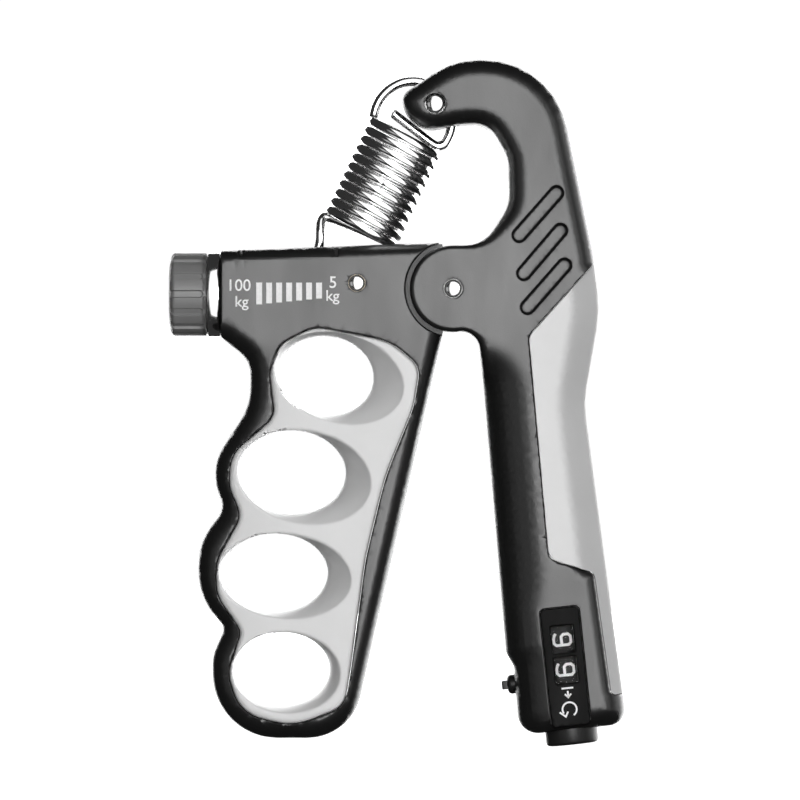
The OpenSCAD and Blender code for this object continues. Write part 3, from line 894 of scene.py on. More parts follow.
def grip_shell(side):
    """Front or rear half of the finger handle, with its barrel."""
    node = "grip_shell_" + SIDES[side]
    outer, _ = refined(section(node, side * GRIP_SEAM_Y)[0])
    face_loops = section(node, side * GRIP_FACE_Y)
    insert, _ = refined(face_loops[1])
    pin = ring(BARREL_PIN, 2.05, 40)
    bore = ring(PIVOT, 3.65, 48)
    width, depth = zoned(outer, (4.6, 5.2), [
        (lambda x, z: z > 112, 3.0, 4.2),
        (lambda x, z: (x > -12) & (z < 100), 3.6, 5.4),
    ])
    end = (np.abs(outer[:, 0] - highs("barrel_collar")[0]) < 0.4) & (outer[:, 1] > 98)
    width[end], depth[end] = 0.5, 0.4
    hidden = np.linalg.norm(outer - PIVOT, axis=1) < RECESS_R + 0.2
    width[hidden], depth[hidden] = 0.4, 0.3
    rims = [rim(outer, width, depth), rim(insert, 0.45, 0.35, outward=True)]
    rims.append(rim(pin, 0.35, 0.3, outward=True))
    pockets = [(ring(PIVOT, RECESS_R, 120), TONGUE_HALF, 0.45, 0)]
    if side > 0:
        pockets += screw_seats(face_loops[2:], "grip_screws", [BARREL_PIN])
    bay = lows("screw_end_block"), highs("screw_end_block")
    liner = lows("slot_liner"), highs("slot_liner")
    slot_top, slot_half = 126, 2.6
    block_left = highs("screw_bush")[0] + 0.05
    steps = [
        (box_of(block_left, bay[1][0] + 0.1, bay[0][2] - 0.1, bay[1][2] + 0.1), bay[1][1] + 0.1),
        (box_of(liner[0][0] + 1.1, liner[1][0] - 1.1, bay[0][2], slot_top), slot_half),
        (box_of(liner[0][0] - 0.05, liner[1][0] + 0.05, liner[0][2], slot_top), liner[1][1] + 0.05),
    ]
    shell = plate(node + "_skin", outer, [insert, pin, bore], rims, grip_level, side,
                  base=HALF_GAP, lap=LAP[side], pockets=pockets, steps=steps)
    fit(shell, "shell_grey", "grip", replaces=[node])


def oval_of(loop):
    """Centre x and z, half axes and tilt of the ellipse with the same moments as a closed loop."""
    after = np.roll(loop, -1, 0)
    cross = loop[:, 0] * after[:, 1] - after[:, 0] * loop[:, 1]
    size = cross.sum() / 2
    centre = ((loop + after) * cross[:, None]).sum(0) / (6 * size)
    a, b = loop - centre, after - centre
    cross = a[:, 0] * b[:, 1] - b[:, 0] * a[:, 1]
    spread = (a * cross[:, None]).T @ (a + b / 2) + (b * cross[:, None]).T @ (b + a / 2)
    values, axes = np.linalg.eigh(spread / (12 * size))
    major = axes[:, 1] * (1 if axes[0, 1] > 0 else -1)
    short, long = 2 * np.sqrt(values)
    return np.array([*centre, long, short, math.atan2(major[1], major[0])])


def oval_points(oval, count):
    """Points round an ellipse given as oval_of gives it."""
    *centre, a, b, tilt = oval
    x, z = (ring((0, 0), 1, count) * [a, b]).T
    along, across = math.cos(tilt), math.sin(tilt)
    return np.array(centre) + np.stack([x * along - z * across, x * across + z * along], 1)


def finger_insert():
    """Pale insert with four oval finger holes, flaring towards both faces."""
    node = "finger_insert"
    top = highs(node)[1]
    outer, _ = refined(section(node, -GRIP_FACE_Y)[0])
    outer = shifted(outer, 0.02)
    throat, flare, share = 3.0, 8.4, 0.75
    waists = sorted(section(node, -1.0)[1:5], key=lambda p: -p[:, 1].mean())
    mouths = sorted(section(node, -throat - flare * share + 0.01)[1:5], key=lambda p: -p[:, 1].mean())
    levels = 14

    def face(points):
        return grip_level(points) - (GRIP_HALF - top)

    known, holes, rims = [], [], [rim(outer, 1.3, 0.75)]
    for waist, mouth in zip(waists, mouths):
        inner = oval_of(waist)
        wide = inner + (oval_of(mouth) - inner) / share ** 2
        a, b = oval_points(inner, 96), oval_points(wide, 96)
        holes.append(a)
        for k in range(levels + 1):
            s = k / levels
            known.append((a + (b - a) * s ** 2, throat + (face(b) - 0.3 - throat) * s))
        rims.append(rim(b, 0.8, 0.3, outward=True))
    known.reverse()
    body = plate(node + "_skin", outer, holes, rims, face, mirror=True, known=known)
    fit(body, "insert_grey", "grip", replaces=[node])


# ---------- palm lever ----------

def seam_edges(loop, other, reach=1.25):
    """Which edges of a loop run back along another loop, close to it."""
    mids = (loop + np.roll(loop, -1, 0)) / 2
    ways = np.roll(loop, -1, 0) - loop
    ways /= np.linalg.norm(ways, axis=1, keepdims=True)
    fine = divided(other, 0.3)
    their = np.roll(fine, -1, 0) - fine
    their /= np.linalg.norm(their, axis=1, keepdims=True)
    flags = []
    for mid, way in zip(mids, ways):
        gap = np.linalg.norm(fine - mid, axis=1)
        k = gap.argmin()
        flags.append(gap[k] < reach and way @ their[k] < -0.5)
    return np.array(flags)


# Depth at which the lever is cut for its outline, and how far that lies inside the full one
LEVER_CUT_Y, EDGE_INSET = 11.0, 0.8


def lever_loops(side):
    """Full outline of a lever shell and of the pad beside it, each with its seam edges flagged."""
    nodes = "lever_shell_" + SIDES[side], "palm_pad"
    shell, pad = [divided(section(node, side * LEVER_CUT_Y)[0], 2.0) for node in nodes]
    shell_seam, pad_seam = seam_edges(shell, pad), seam_edges(pad, shell)
    shell = grown(shell, np.where(shell_seam, -0.02, EDGE_INSET))
    pad = grown(pad, np.full(len(pad), EDGE_INSET - 0.03))
    return refined(shell, flags=shell_seam), refined(pad, flags=pad_seam)


def lever_rims(shell, shell_seam):
    """Roundings of a lever shell: full along its free edges, slight beside the pad."""
    width, depth = zoned(shell, (4.2, 4.6), [
        (lambda x, z: (z < 99) & (x < 40), 7.0, 6.5),
        (lambda x, z: (z < 90) & (x < 40), 12.0, 9.0),
        (lambda x, z: (z < 36) & (x < 40), 9.5, 8.6),
        (lambda x, z: (z < 12) & (x > 32) & (x < 50), 4.5, 6.5),
        (lambda x, z: (z < 20) & (x > 50), 5.5, 6.5),
    ])
    cheek = np.abs(np.linalg.norm(shell - PIVOT, axis=1) - CHEEK_R) < 0.35
    cheek &= shell[:, 0] < PIVOT[0] + 5
    beyond = np.full(len(shell), 99.0)
    for point in shell[cheek]:
        beyond = np.minimum(beyond, np.linalg.norm(shell - point, axis=1))
    share = np.clip(beyond / CHEEK_REACH, 0, 1)
    share = share * share * (3 - 2 * share)
    width, depth = [CHEEK_EDGE + (v - CHEEK_EDGE) * share for v in (width, depth)]
    beside = highs("counter_faceplate")
    strip = (shell[:, 1] < beside[2] + 12) & (shell[:, 0] > beside[0] - 3)
    edge_width, edge_depth = eased(np.where(strip, 3.0, 0.35), 8), eased(np.where(strip, 1.6, 0.3), 8)
    return [rim(shell, width, depth, ~shell_seam), rim(shell, edge_width, edge_depth, shell_seam)]


# In the counter's axes: the trigger stud's bore and its lift, the depths of the bay and of the panel
STUD_R, STUD_LIFT = 2.45, 0.75
BAY_HALF, PANEL_FLOOR = 10.7, 11.7


def bore_run(r, angle, along):
    """Offset across a round bore at an angle in degrees, and the stations along it, as columns."""
    return np.full(len(along), r * math.sin(math.radians(angle))), along


def counter_bores(side):
    """Inner steps for the reset knob and the trigger stud, and the lines that carry their curvature."""
    knob_r = local_box("reset_knob")[1][0] + 0.15
    stud_at = centre_of(np.array(local_box("trigger_plunger")))[2] + STUD_LIFT

    def knob_bore(points):
        across = (points - COUNTER_AT[[0, 2]]) @ COUNTER_X[[0, 2]]
        return np.sqrt(np.maximum(knob_r ** 2 - across ** 2, 0)) + side * COUNTER_AT[1]

    def stud_bore(points):
        up = (points - COUNTER_AT[[0, 2]]) @ COUNTER_UP[[0, 2]] - stud_at
        return np.sqrt(np.maximum(STUD_R ** 2 - up ** 2, 0))

    lines = []
    for angle in range(-75, 76, 15):
        across, up = bore_run(knob_r, angle, np.linspace(1, 6.9, 9))
        lines.append(from_counter(np.stack([across, up], 1)))
    for angle in range(-75, 76, 25):
        up, across = bore_run(STUD_R, angle, np.linspace(-14.5, -11.5, 5))
        lines.append(from_counter(np.stack([across, stud_at + up], 1)))
    return [
        (counter_box(-knob_r, knob_r, -3, 7.05), knob_bore),
        (counter_box(-16, -11.25, stud_at - STUD_R, stud_at + STUD_R), stud_bore),
    ], lines


def lever_shell(side):
    """Front or rear half of the palm lever, with the seats of its pins, screws and counter."""
    node = "lever_shell_" + SIDES[side]
    (shell, shell_seam), _ = lever_loops(side)
    face_loops = section(node, side * (LEVER_HALF - 0.5))
    slots = [loop for loop in face_loops[1:] if 20 < length(loop) < 50 and loop[:, 1].mean() > 100]
    pockets = [(divided(refined(loop, corner=60)[0]), LEVER_HALF - 1.0, 0.35, 0.5) for loop in slots]
    pin, eye = ring(PIVOT, 2.25, 48), ring(SPRING_EYE, 2.45, 48)
    rims = lever_rims(shell, shell_seam)
    rims += [rim(pin, 0.4, 0.35, outward=True), rim(eye, 0.45, 0.4, outward=True)]
    holes = [pin, eye]
    bores, bore_lines = counter_bores(side)
    steps = [
        (ring(PIVOT, CLEVIS_R, 96), CLEVIS_HALF),
        (ring(LOOP_AT, TIP_SLOT_R, 96), TIP_GAP),
        (counter_box(-9, 9, 7, local_box("counter_frame")[1][2] + 1.3), BAY_HALF),
        (counter_box(-11.3, -8.9, 12.2, 18.9), 9.0 if side < 0 else 11.8),
        *bores,
    ]
    if side < 0:
        low, high = local_box("counter_faceplate")
        panel = counter_box(low[0] - 0.12, high[0] + 0.12, low[2] - 0.12, high[2] + 0.12, 1.3, 1.5)
        pockets.append((panel, PANEL_FLOOR, 0.25, 0))
        lens_low, lens_high = local_box("window_lens")
        holes.append(counter_box(-2.75, 2.75, lens_low[2] + 0.6, lens_high[2] - 0.5, step=1.2))
    else:
        seats = [loop for loop in face_loops[1:] if length(loop) < 16]
        pockets += screw_seats(seats, "lever_screws", [PIVOT, SPRING_EYE])
    body = plate(node + "_skin", shell, holes, rims, LEVER_HALF, side,
                 base=HALF_GAP, lap=LAP[side], pockets=pockets, steps=steps, lines=bore_lines, grid=1.5)
    fit(body, "shell_grey", "lever", replaces=[node])


def palm_pad():
    """Pale pad along the outer edge of the lever."""
    _, (pad, pad_seam) = lever_loops(-1)
    rims = [rim(pad, 6.9, 6.2, ~pad_seam, flat=0.85), rim(pad, 0.35, 0.3, pad_seam)]
    body = plate("palm_pad_skin", pad, [], rims, LEVER_HALF, mirror=True)
    fit(body, "pad_grey", "lever", replaces=["palm_pad"])


def tongue_web():
    """Closes the narrow slit between tongue and barrel, clear of the lever at both ends of its travel."""
    (shell, _), _ = lever_loops(-1)
    travel = JOINTS["lever_pivot"]["range_deg"][1]
    free = []
    for degree in range(360):
        sweep = np.radians(np.linspace(degree, degree + travel, 5))
        free.append(not inside(np.vstack([around(PIVOT, r, sweep) for r in (10.9, 11.6)]), [shell]).any())
    barrel = section("grip_shell_front", -GRIP_FACE_Y)[0]
    backed = inside(around(PIVOT, RECESS_R + 0.4, np.radians(np.arange(360))), [barrel])
    clear = [d for d in range(60, 300) if backed[d] and free[d] and free[d - 3] and free[(d + 3) % 360]]
    first, last = min(clear), max(clear)
    # Where nothing backs it, the web runs on a little way
    while free[first - 4] and min(clear) - first < 10:
        first -= 1
    angles = np.radians(np.append(np.arange(first, last, 2.0), last))
    outer = around(PIVOT, RECESS_R - 0.02, angles)
    outer[:, 1] = np.minimum(outer[:, 1], barrel[:, 1].max() - 0.2)
    outline = np.vstack([outer, around(PIVOT, 8.8, angles[::-1])])
    rims = [rim(outline, 0.1, 0.05)]
    web = plate("tongue_web", outline, [], rims, TONGUE_HALF - 0.02, mirror=True, grid=4)
    fit(web, "shell_grey", "grip")


# ---------- pins and screws ----------

def domed_pin(node, body, head=None):
    """Pin along Y with domed ends; head is the length of its end and the radius of the shank behind it."""
    (x, _, z), low, high = middle(node), lows(node), highs(node)
    r, half = (high[2] - low[2]) / 2, high[1]
    dome = 0.42 * r
    profile = arc_profile(-half, 0, -half + dome, r, 6)
    if head:
        neck, shank = head
        profile += [(neck - half, r), (neck - half, shank)]
    fit(turned(node + "_skin", mirrored(profile, 0), along_y(x, z), 48), "chrome", body, replaces=[node])


def cross_screws(node, body):
    """Round heads with a cross recess, one piece for each screw."""
    top = highs(node)[1]
    v = vertices(node)
    heads = v[v[:, 1] > top - 0.2][:, [0, 2]]
    centres = []
    for point in heads:
        if all(math.dist(point, c) > 6 for c in centres):
            centres.append(centre_of(heads[np.linalg.norm(heads - point, axis=1) < 5]))
    for k, at in enumerate(centres):
        outer = ring(at, 2.15, 40)
        arm, web = 1.25, 0.3
        quarter = np.array([[web, arm], [-web, arm], [-web, web]])
        ways = (1, 0), (0, 1), (-1, 0), (0, -1)
        cross = np.vstack([quarter @ np.array([[c, s], [-s, c]]) for c, s in ways])
        turn = math.radians(17 + 31 * k)
        turn = np.array([[math.cos(turn), math.sin(turn)], [-math.sin(turn), math.cos(turn)]])
        head = plate(f"{node}_{k + 1}", outer, [], [rim(outer, 1.0, 0.55)], top, 1, base=top - 9.0,
                     pockets=[(at + cross @ turn, top - 0.9, 0.08, 0)], grid=0.9)
        fit(head, "screw_black", body)
        if k == 0:
            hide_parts(node)


# ---------- knob, collar and scale ----------

GROOVES = 14


def adjuster_knob():
    """Dark knob with grooves round its outer part, a hole in its end and an index mark."""
    low, high = lows("adjuster_knob"), highs("adjuster_knob")
    big = (high[2] - low[2]) / 2
    left, right = low[0], high[0]
    dome, flat_r, hole_r = 1.5, 5.2, 3.4
    groove_end = left + 7.4
    depth, half, wall = 0.55, 0.95, 0.22

    def ribbed(angle, station, r):
        if station < left + 0.6 or station > groove_end + 1.3 or r < big - 2.0:
            return r
        pitch = 2 * math.pi / GROOVES
        off = abs((angle + pitch / 2) % pitch - pitch / 2) * big
        gap = half - math.hypot(off, max(station - groove_end, 0.0))
        return r - depth * min(max(gap / wall, 0.0), 1.0)

    profile = [(left + 1.6, 0), (left + 1.6, hole_r - 0.1), (left + 0.15, hole_r), (left, hole_r + 0.2)]
    profile += arc_profile(left, flat_r, left + dome, big, 8)
    station = left + dome
    while station < groove_end + 1.5:
        station += 0.22
        profile.append((station, big))
    profile += [(right - 0.75, big), (right - 0.45, big - 0.05), (right - 0.1, big - 0.35)]
    profile += [(right, big - 0.7), (right, 0)]
    knob = turned("adjuster_knob_skin", profile, along_x(z=SCREW_Z), 720, ribbed, 30)
    fit(knob, "knob_dark", "adjuster", replaces=["adjuster_knob"])
    index = strokes("knob_index_mark", [(np.array([[0, 0.2], [0, 3.0]]), False)], 0.7,
                    lambda u, v, lift: (left - 0.02 - lift, u, SCREW_Z + 3.8 + v * 0.4), 0.02)
    fit(index, "print_white", "adjuster")


def barrel_collar():
    """Bright ring between the knob and the barrel."""
    low, high = lows("barrel_collar"), highs("barrel_collar")
    big = (high[2] - low[2]) / 2
    left, right = low[0], high[0]
    end = [(0, 0), (0, big - 1.2), (0.15, big - 0.45), (0.4, big - 0.1), (0.7, big)]
    profile = mirrored([(left + s, r) for s, r in end], left + right)
    collar = turned("barrel_collar_skin", profile, along_x(z=SCREW_Z), 128)
    fit(collar, "chrome", "grip", replaces=["barrel_collar"])


def barrel_scale():
    """Seven bars and the end values of the scale, printed on the front of the barrel."""
    liner = lows("slot_liner"), highs("slot_liner")
    left, right = liner[0][0] + 4.1, liner[1][0] - 3.9
    top, tall, short, width = SCREW_Z + 2.7, 5.2, 3.8, 1.4
    face = GRIP_HALF + 0.005
    bars = []
    for k in range(7):
        t = k / 6
        x = left + width / 2 + (right - left - width) * t
        height = tall + (short - tall) * t
        bars.append((np.array([[x, top - height], [x, top]]), False))
    marks = strokes("scale_bars", bars, width, lambda u, v, lift: (u, -face - lift, v), 0.02)
    fit(marks, "print_white", "grip")
    labels = [
        ("scale_100", "100", 2.75, (left - 3.85, top - 0.6)),
        ("scale_kg_high", "kg", 2.55, (left - 3.4, top - 4.9)),
        ("scale_5", "5", 2.75, (right + 2.6, top + 0.1)),
        ("scale_kg_low", "kg", 2.55, (right + 2.6, top - 3.5)),
    ]
    for name, text, height, centre in labels:
        word = lettering(name, text, height, centre, face)
        fit(word, "print_white", "grip")


# ---------- counter ----------

def cut_corners(run, size, closed):
    """Stroke path with its corners cut off."""
    run = np.asarray(run, float)
    out = []
    n = len(run)
    for i, p in enumerate(run):
        if not closed and i in (0, n - 1):
            out.append(p)
            continue
        for other in (run[i - 1], run[(i + 1) % n]):
            way = other - p
            out.append(p + way * min(size / np.linalg.norm(way), 0.5))
    return np.array(out)


# Digits as stroke paths in a box one wide and two high
DIGITS = {
    0: [([[0, 0], [1, 0], [1, 2], [0, 2]], True)],
    1: [([[0.2, 1.6], [0.6, 2], [0.6, 0]], False)],
    2: [([[0, 1.7], [0, 2], [1, 2], [1, 1], [0, 1], [0, 0], [1, 0]], False)],
    3: [([[0, 1.7], [0, 2], [1, 2], [1, 0], [0, 0], [0, 0.3]], False), ([[0.3, 1], [1, 1]], False)],
    4: [([[0, 2], [0, 0.8], [1, 0.8]], False), ([[1, 2], [1, 0]], False)],
    5: [([[1, 2], [0, 2], [0, 1.1], [1, 1.1], [1, 0], [0, 0]], False)],
    6: [([[1, 1.7], [1, 2], [0, 2], [0, 0], [1, 0], [1, 1.1], [0, 1.1]], False)],
    7: [([[0, 2], [1, 2], [1, 1.5], [0.5, 0]], False)],
    8: [([[0, 0], [1, 0], [1, 2], [0, 2]], True), ([[0, 1.05], [1, 1.05]], False)],
    9: [([[1, 0.9], [0, 0.9], [0, 2], [1, 2], [1, 0], [0.15, 0], [-0.1, 0.3]], False)],
}


def number_wheel(node, body, shown):
    """Black wheel with ten digits round it, the shown one facing the window."""
    low, high = local_box(node)
    r = high[0]
    z0, z1 = low[2], high[2]
    place = counter_place()
    end = [(0.8, 0), (0.8, r - 1.4), (0.1, r - 1.3), (0, r - 1.1)]
    end += [(0, r - 0.25), (0.08, r - 0.07), (0.25, r)]
    profile = mirrored([(z0 + s, rr) for s, rr in end], z0 + z1)
    wheel = turned(node + "_skin", profile, place, 96)
    fit(wheel, "wheel_black", body, replaces=[node])
    width, tall = 2.55, 4.1
    mid = (z0 + z1) / 2
    runs = []
    for digit, strokes_of in DIGITS.items():
        turn = (digit - shown) * math.radians(36)
        for run, closed in strokes_of:
            run = cut_corners(np.array(run) * [width, tall / 2], 0.55, closed)
            bearing = (run[:, 1] - tall / 2) / r + turn
            up = mid - (run[:, 0] - width / 2)
            runs.append((np.stack([bearing * r, up], 1), closed))

    def place_on(u, v, lift):
        angle = u / r - math.pi / 2
        reach = r + 0.005 + lift
        return tuple(place @ Vector((reach * math.cos(angle), reach * math.sin(angle), v)))

    digits = strokes(node + "_digits", runs, 0.66, place_on, 0.02, 0.4)
    fit(digits, "print_white", body)


def counter_faceplate():
    """Black cover with a window for each wheel, and the printed reset symbol."""
    low, high = local_box("counter_faceplate")
    lens_low, lens_high = local_box("window_lens")
    units, tens = local_box("units_wheel"), local_box("tens_wheel")
    outer = counter_box(low[0], high[0], low[2], high[2], 1.2, 1.2)
    windows = [counter_box(-2.6, 2.8, z0, z1, 0.25, 1.2) for z0, z1 in (
        (units[0][2] + 0.2, units[1][2] - 0.3), (tens[0][2] + 0.3, tens[1][2]))]
    face = -(low[1] + COUNTER_AT[1])
    rims = [rim(outer, 0.35, 0.25)] + [rim(w, 0.35, 0.25, outward=True) for w in windows]
    lens_seat = [(counter_box(-3.4, 3.4, lens_low[2] - 0.1, lens_high[2] + 0.1, step=2.0), 12.2)]
    cover = plate("counter_faceplate_skin", outer, windows, rims, face, base=PANEL_FLOOR + 0.02,
                  steps=lens_seat, grid=1.5)
    fit(cover, "faceplate_black", "lever", replaces=["counter_faceplate"])

    def on_face(u, v, lift):
        x, z = from_counter([[u, v]])[0]
        return (x, -face - 0.005 - lift, z)

    mid_z = (low[2] + units[0][2]) / 2 - 1.0
    arc = [[1.7 * math.cos(a), mid_z + 1.7 * math.sin(a)] for a in np.radians(np.arange(-60, 211, 15))]
    tip, way = np.array(arc[-1]), np.array([0.45, -0.9])
    head = [tip + np.array([-0.95, 0.35]), tip + way * 0.9, tip + np.array([1.05, 0.35])]
    bar = [[-1.4, mid_z + 5.1], [1.4, mid_z + 5.1]]
    push = [[0, mid_z + 4.4], [0, mid_z + 2.9]]
    push_head = [[-0.75, mid_z + 3.7], [0, mid_z + 2.9], [0.75, mid_z + 3.7]]
    runs = [(line, False) for line in (arc, head, bar, push, push_head)]
    symbol = strokes("reset_symbol", runs, 0.42, on_face, 0.02, 0.4)
    fit(symbol, "print_white", "lever")


def trigger_stud():
    """Round button with a small square pip on its outer end."""
    low, high = local_box("trigger_plunger")
    height = (low[2] + high[2]) / 2 + STUD_LIFT
    place = counter_place() @ along_x(low[0], -COUNTER_AT[1], height)
    body = [(1.3, 0), (1.32, 1.1), (1.42, 1.6), (1.65, 2.0), (1.95, 2.2), (2.3, 2.28)]
    body += [(4.3, 2.28), (4.3, 0)]
    fit(turned("trigger_stud", body, place, 48), "black_plastic", "trigger")
    half = math.sqrt(2)
    pip = [(0, 0), (0, 0.8 * half), (0.15, 1.0 * half), (0.35, 1.05 * half), (1.5, 1.05 * half), (1.5, 0)]
    turned_place = place @ Matrix.Rotation(math.radians(45), 4, "Z")
    fit(turned("trigger_pip", pip, turned_place, 4), "black_plastic", "trigger")


def trigger_plate():
    """Plate on the inner end of the trigger stud, inside the lever."""
    low, high = local_box("trigger_plunger")
    y0, y1, z0, z1 = 1.0, high[1], low[2], high[2]
    corners = [(y0, z0), (y1, z0), (y1, z0 + 2.9), (8.8, z0 + 2.9), (8.8, z1), (y0, z1)]
    n = len(corners)
    points = [counter_place() @ Vector((x, y, z)) for x in (high[0] - 0.6, high[0]) for y, z in corners]
    faces = [tuple(reversed(range(n))), tuple(range(n, 2 * n))]
    faces += [(k, (k + 1) % n, n + (k + 1) % n, n + k) for k in range(n)]
    fit(piece("trigger_plate", points, faces), "black_plastic", "trigger", replaces=["trigger_plunger"])


def reset_knob():
    """Round foot of the lever, which resets the counter."""
    low, high = local_box("reset_knob")
    r, z0, step_z = high[0], low[2], 7.05
    end = [(0.35, 0), (0.35, r - 2.6), (0.2, r - 2.2), (0, r - 1.9), (0, r - 1.0)]
    end += [(0.12, r - 0.5), (0.4, r - 0.15), (0.8, r)]
    profile = [(z0 + s, rr) for s, rr in end]
    profile += [(step_z, r), (step_z, 2.5), (high[2], 2.5), (high[2], 0)]
    knob = turned("reset_knob_skin", profile, counter_place(), 120)
    fit(knob, "reset_black", "reset_knob", replaces=["reset_knob"])


# ---------- spring ----------

COIL_R, WIRE_R = 8.8, 1.12
LEAN = math.radians(25.5)
LOOP_RISE, LOOP_R = 4.2, 9.4
COIL_LENGTH, COIL_TURNS = 24.8, 10.5
# Turns at the top of the coil that stay close together under the end loop
HOOK_TURNS = 0.5
# Straight wire between the coil and the lower eye
LEG_LENGTH = 9.0
TURN_STEPS = 56


def on_spring(points):
    """Points of the spring's axes (x across, y back, z up the coil) in the row frame."""
    points = np.asarray(points, float)
    x, y, z = points.T
    across, up = math.cos(LEAN), math.sin(LEAN)
    return np.stack([LOOP_AT[0] + x * across + z * up, y, LOOP_AT[1] - x * up + z * across], 1)


def coil_depth(turn):
    """Distance down the coil's axis at a turn number."""
    return LOOP_RISE + COIL_LENGTH * turn / COIL_TURNS


def helix(start, stop):
    """Coil points from one turn number to another; turn 0 is at the left of the top ring."""
    count = int(abs(stop - start) * TURN_STEPS) + 1
    turn = np.linspace(start, stop, count)
    angle = math.pi + turn * 2 * math.pi
    return np.stack([COIL_R * np.cos(angle), COIL_R * np.sin(angle), -coil_depth(turn)], 1)


def spring():
    """Wire spring in three pieces, none of them attached to a body."""
    arc = np.radians(np.arange(-10, 193, 6.0))
    loop = np.stack([LOOP_R * np.cos(arc), np.zeros(len(arc)), LOOP_R * np.sin(arc)], 1)
    tail = [[-4.9, -0.6, -0.5], [-1.0, -0.5, -1.35], [3.0, -0.3, -2.25],
            [6.4, -0.15, -2.95], [7.7, 0, -3.0], [8.7, 0, -2.4]]
    joint = [[-8.95, -0.15, -2.9], [-8.75, -0.9, -3.9]]
    head = smooth_path(np.vstack([tail, loop, joint, helix(0.06, 0.14)]))
    hook_path = np.vstack([head, helix(0.14, HOOK_TURNS)[1:]])
    hook = wire("spring_hook", on_spring(hook_path), WIRE_R)
    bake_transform(hook)
    fit(hook, "spring_steel", None, replaces=["spring_head"])

    top = wire("spring_upper", on_spring(helix(HOOK_TURNS, COIL_TURNS / 2)), WIRE_R)
    reach = blend_ends(coil_depth(HOOK_TURNS), coil_depth(COIL_TURNS / 2))
    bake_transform(top)
    fit(top, "spring_steel", None, replaces=["spring_coil"])

    eye = middle("hook_pin")[[0, 2]]
    eye_r = 2.2
    lower = on_spring(helix(COIL_TURNS / 2, COIL_TURNS - 0.07))
    bend = np.array([[eye[0] + 0.75, 1.7, eye[1] + 12.2], [eye[0] + 0.05, 0.7, eye[1] + 11.1],
                     [eye[0] - 0.15, 0.1, eye[1] + 9.2], [eye[0] - 0.25, 0.0, eye[1] + 6.4],
                     [eye[0] - 1.1, 0.0, eye[1] + 3.4]])
    turn = np.radians(np.arange(165, 451, 20.0))
    x, z = around(eye, eye_r, turn).T
    path = smooth_path(np.vstack([lower[-2:], bend, np.stack([x, np.linspace(0, 0.6, len(turn)), z], 1)]))
    bottom = wire("spring_lower", np.vstack([lower[:-2], path]), WIRE_R)
    reach = blend_ends(coil_depth(COIL_TURNS / 2), coil_depth(COIL_TURNS) + LEG_LENGTH)
    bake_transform(bottom)
    fit(bottom, "spring_steel", None, replaces=["spring_foot"])


def blend_ends(start, stop):
    """Two points on the coil's axis, at distances down it."""
    return [tuple(end) for end in on_spring([[0, 0, -start], [0, 0, -stop]]) * MM]


# ---------- everything ----------

def dress_hidden_nodes():
    """Procedural materials for the CAD nodes that stay."""
    looks = {
        "steel": ("thrust_washer", "lead_screw", "retaining_clip", "pivot_washers", "wheel_shaft",
                  "stop_pawl", "drive_pawl", "trigger_spring", "reset_plunger", "reset_spring",
                  "spring_sleeve"),
        "brass": ("screw_bush", "screw_end_block", "pivot_bush", "counter_frame"),
        "black_plastic": ("slot_liner",),
        "white_plastic": ("carriage", "ratchet_wheel"),
        "chrome": ("hook_pin",),
        "screw_black": ("knob_screw",),
        "window_clear": ("window_lens",),
    }
    for look, nodes in looks.items():
        for node in nodes:
            mesh = frame["nodes"][node].data
            mesh.materials.clear()
            mesh.materials.append(LOOKS[look])


def object_pieces():
    for side in (-1, 1):
        grip_shell(side)
        lever_shell(side)
    tongue_web()
    finger_insert()
    palm_pad()
    domed_pin("main_pivot_pin", "lever")
    domed_pin("barrel_pin", "grip")
    domed_pin("spring_pin", "lever", head=(2.3, 1.15))
    cross_screws("grip_screws", "grip")
    cross_screws("lever_screws", "lever")
    adjuster_knob()
    barrel_collar()
    barrel_scale()
    number_wheel("units_wheel", "units", 9)
    number_wheel("tens_wheel", "tens", 9)
    counter_faceplate()
    trigger_stud()
    trigger_plate()
    reset_knob()
    spring()
    dress_hidden_nodes()


# ---------- stage, light and camera ----------

# The floor lies a little below the part, so that the two never touch
FLOOR_DROP = 0.3


def stage():
    """Pale round floor that curves up into a plain wall on every side, beyond the lights and the camera."""
    radius, bend, high = 4200.0, 900.0, 5200.0
    profile = [(0.0, 0.0), (1200.0, 0.0)]
    for a in np.radians(90 * np.arange(13) / 12):
        profile.append((radius - bend + bend * math.sin(a), bend - bend * math.cos(a)))
    profile.append((radius, high))
    lowered = [(z - FLOOR_DROP, r) for r, z in profile]
    floor = turned("studio_floor", lowered, Matrix.Identity(4), 96)
    look = Look("studio_white", roughness=0.9, specular_ior_level=0.0, emission_color=(1, 1, 1, 1),
                emission_strength=1.0)
    cloud = look.noise(1.5, 2.0)
    look.join(look.ramp(cloud, [(0.2, grey(0.80)), (0.8, grey(0.82))]), "Base Color")
    floor.data.materials.append(look.mat)
    floor.visible_diffuse = False
    floor.visible_glossy = False
    floor.visible_transmission = False


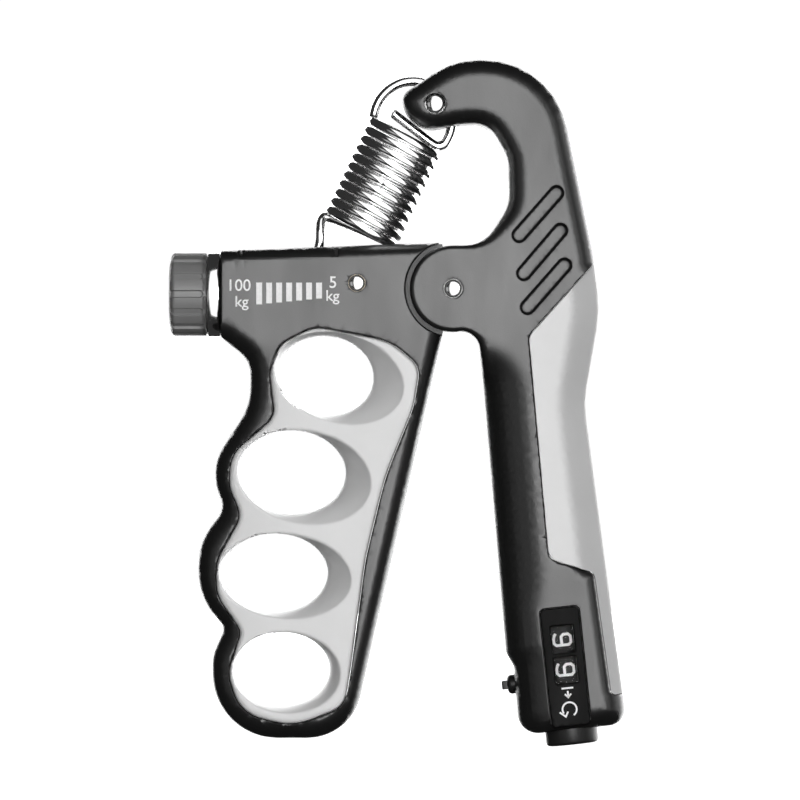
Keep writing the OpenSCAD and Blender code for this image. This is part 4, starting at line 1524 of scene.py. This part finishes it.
def softbox(name, at, target, size, power, glossy=True, group=None):
    """Area light; with a group, it lights only the pieces of that group."""
    light = bpy.data.lights.new(name, "AREA")
    light.shape = "RECTANGLE"
    light.size, light.size_y = size[0] * MM, size[1] * MM
    light.energy = power
    obj = bpy.data.objects.new(name, light)
    obj.location = Vector(at) * MM
    obj.rotation_euler = (Vector(target) - Vector(at)).to_track_quat("-Z", "Y").to_euler()
    obj.visible_glossy = glossy
    obj.visible_camera = False
    if group:
        obj.light_linking.receiver_collection = GROUPS[group]
    bpy.context.scene.collection.objects.link(obj)


def lights():
    """Softboxes round the part, some of them for one group of pieces, and a faint world."""
    centre = (0, 0, 85)
    softbox("key_front", (160, -1500, 170), centre, (800, 900), 15)
    softbox("strip_right", (900, -900, 350), centre, (160, 900), 1.2)
    softbox("metal_panel", (215, -670, 130), centre, (1150, 3200), 14, group="bright_metal")
    softbox("pad_light", (-1150, -1000, 170), centre, (600, 900), 15, group="pale_pad")
    softbox("insert_light", (1150, -900, 500), centre, (600, 600), 9, group="pale_insert")
    softbox("side_panel", (1500, 150, 250), centre, (900, 900), 3)
    softbox("left_panel", (-1250, -1250, -60), centre, (900, 900), 1)
    softbox("back_panel", (1000, 1250, 60), centre, (1300, 1200), 18)
    softbox("back_fill", (-200, 1500, 300), centre, (1200, 1200), 22)
    world = bpy.data.worlds.new("studio_world")
    world.use_nodes = True
    world.node_tree.nodes["Background"].inputs["Color"].default_value = (1, 1, 1, 1)
    world.node_tree.nodes["Background"].inputs["Strength"].default_value = 0.03
    bpy.context.scene.world = world
    bpy.context.scene.view_settings.view_transform = "Standard"


# How far the photo's middle lies off the part's own
CAMERA_SHIFT = np.array([0.84, 0, 0.85])


def camera():
    """Long lens, square on to the front face."""
    distance, wide = 2500.0, 192.0
    x, _, z = centre_of(np.array(CAD_BOX)) / MM + CAMERA_SHIFT
    data = bpy.data.cameras.new("camera")
    data.sensor_width = 36.0
    data.lens = data.sensor_width * distance / wide
    data.clip_end = 50.0
    obj = bpy.data.objects.new("camera", data)
    obj.location = Vector((x, -distance, z)) * MM
    obj.rotation_euler = (math.pi / 2, 0, 0)
    bpy.context.scene.collection.objects.link(obj)
    bpy.context.scene.camera = obj


camera()
object_pieces()
stage()
lights()
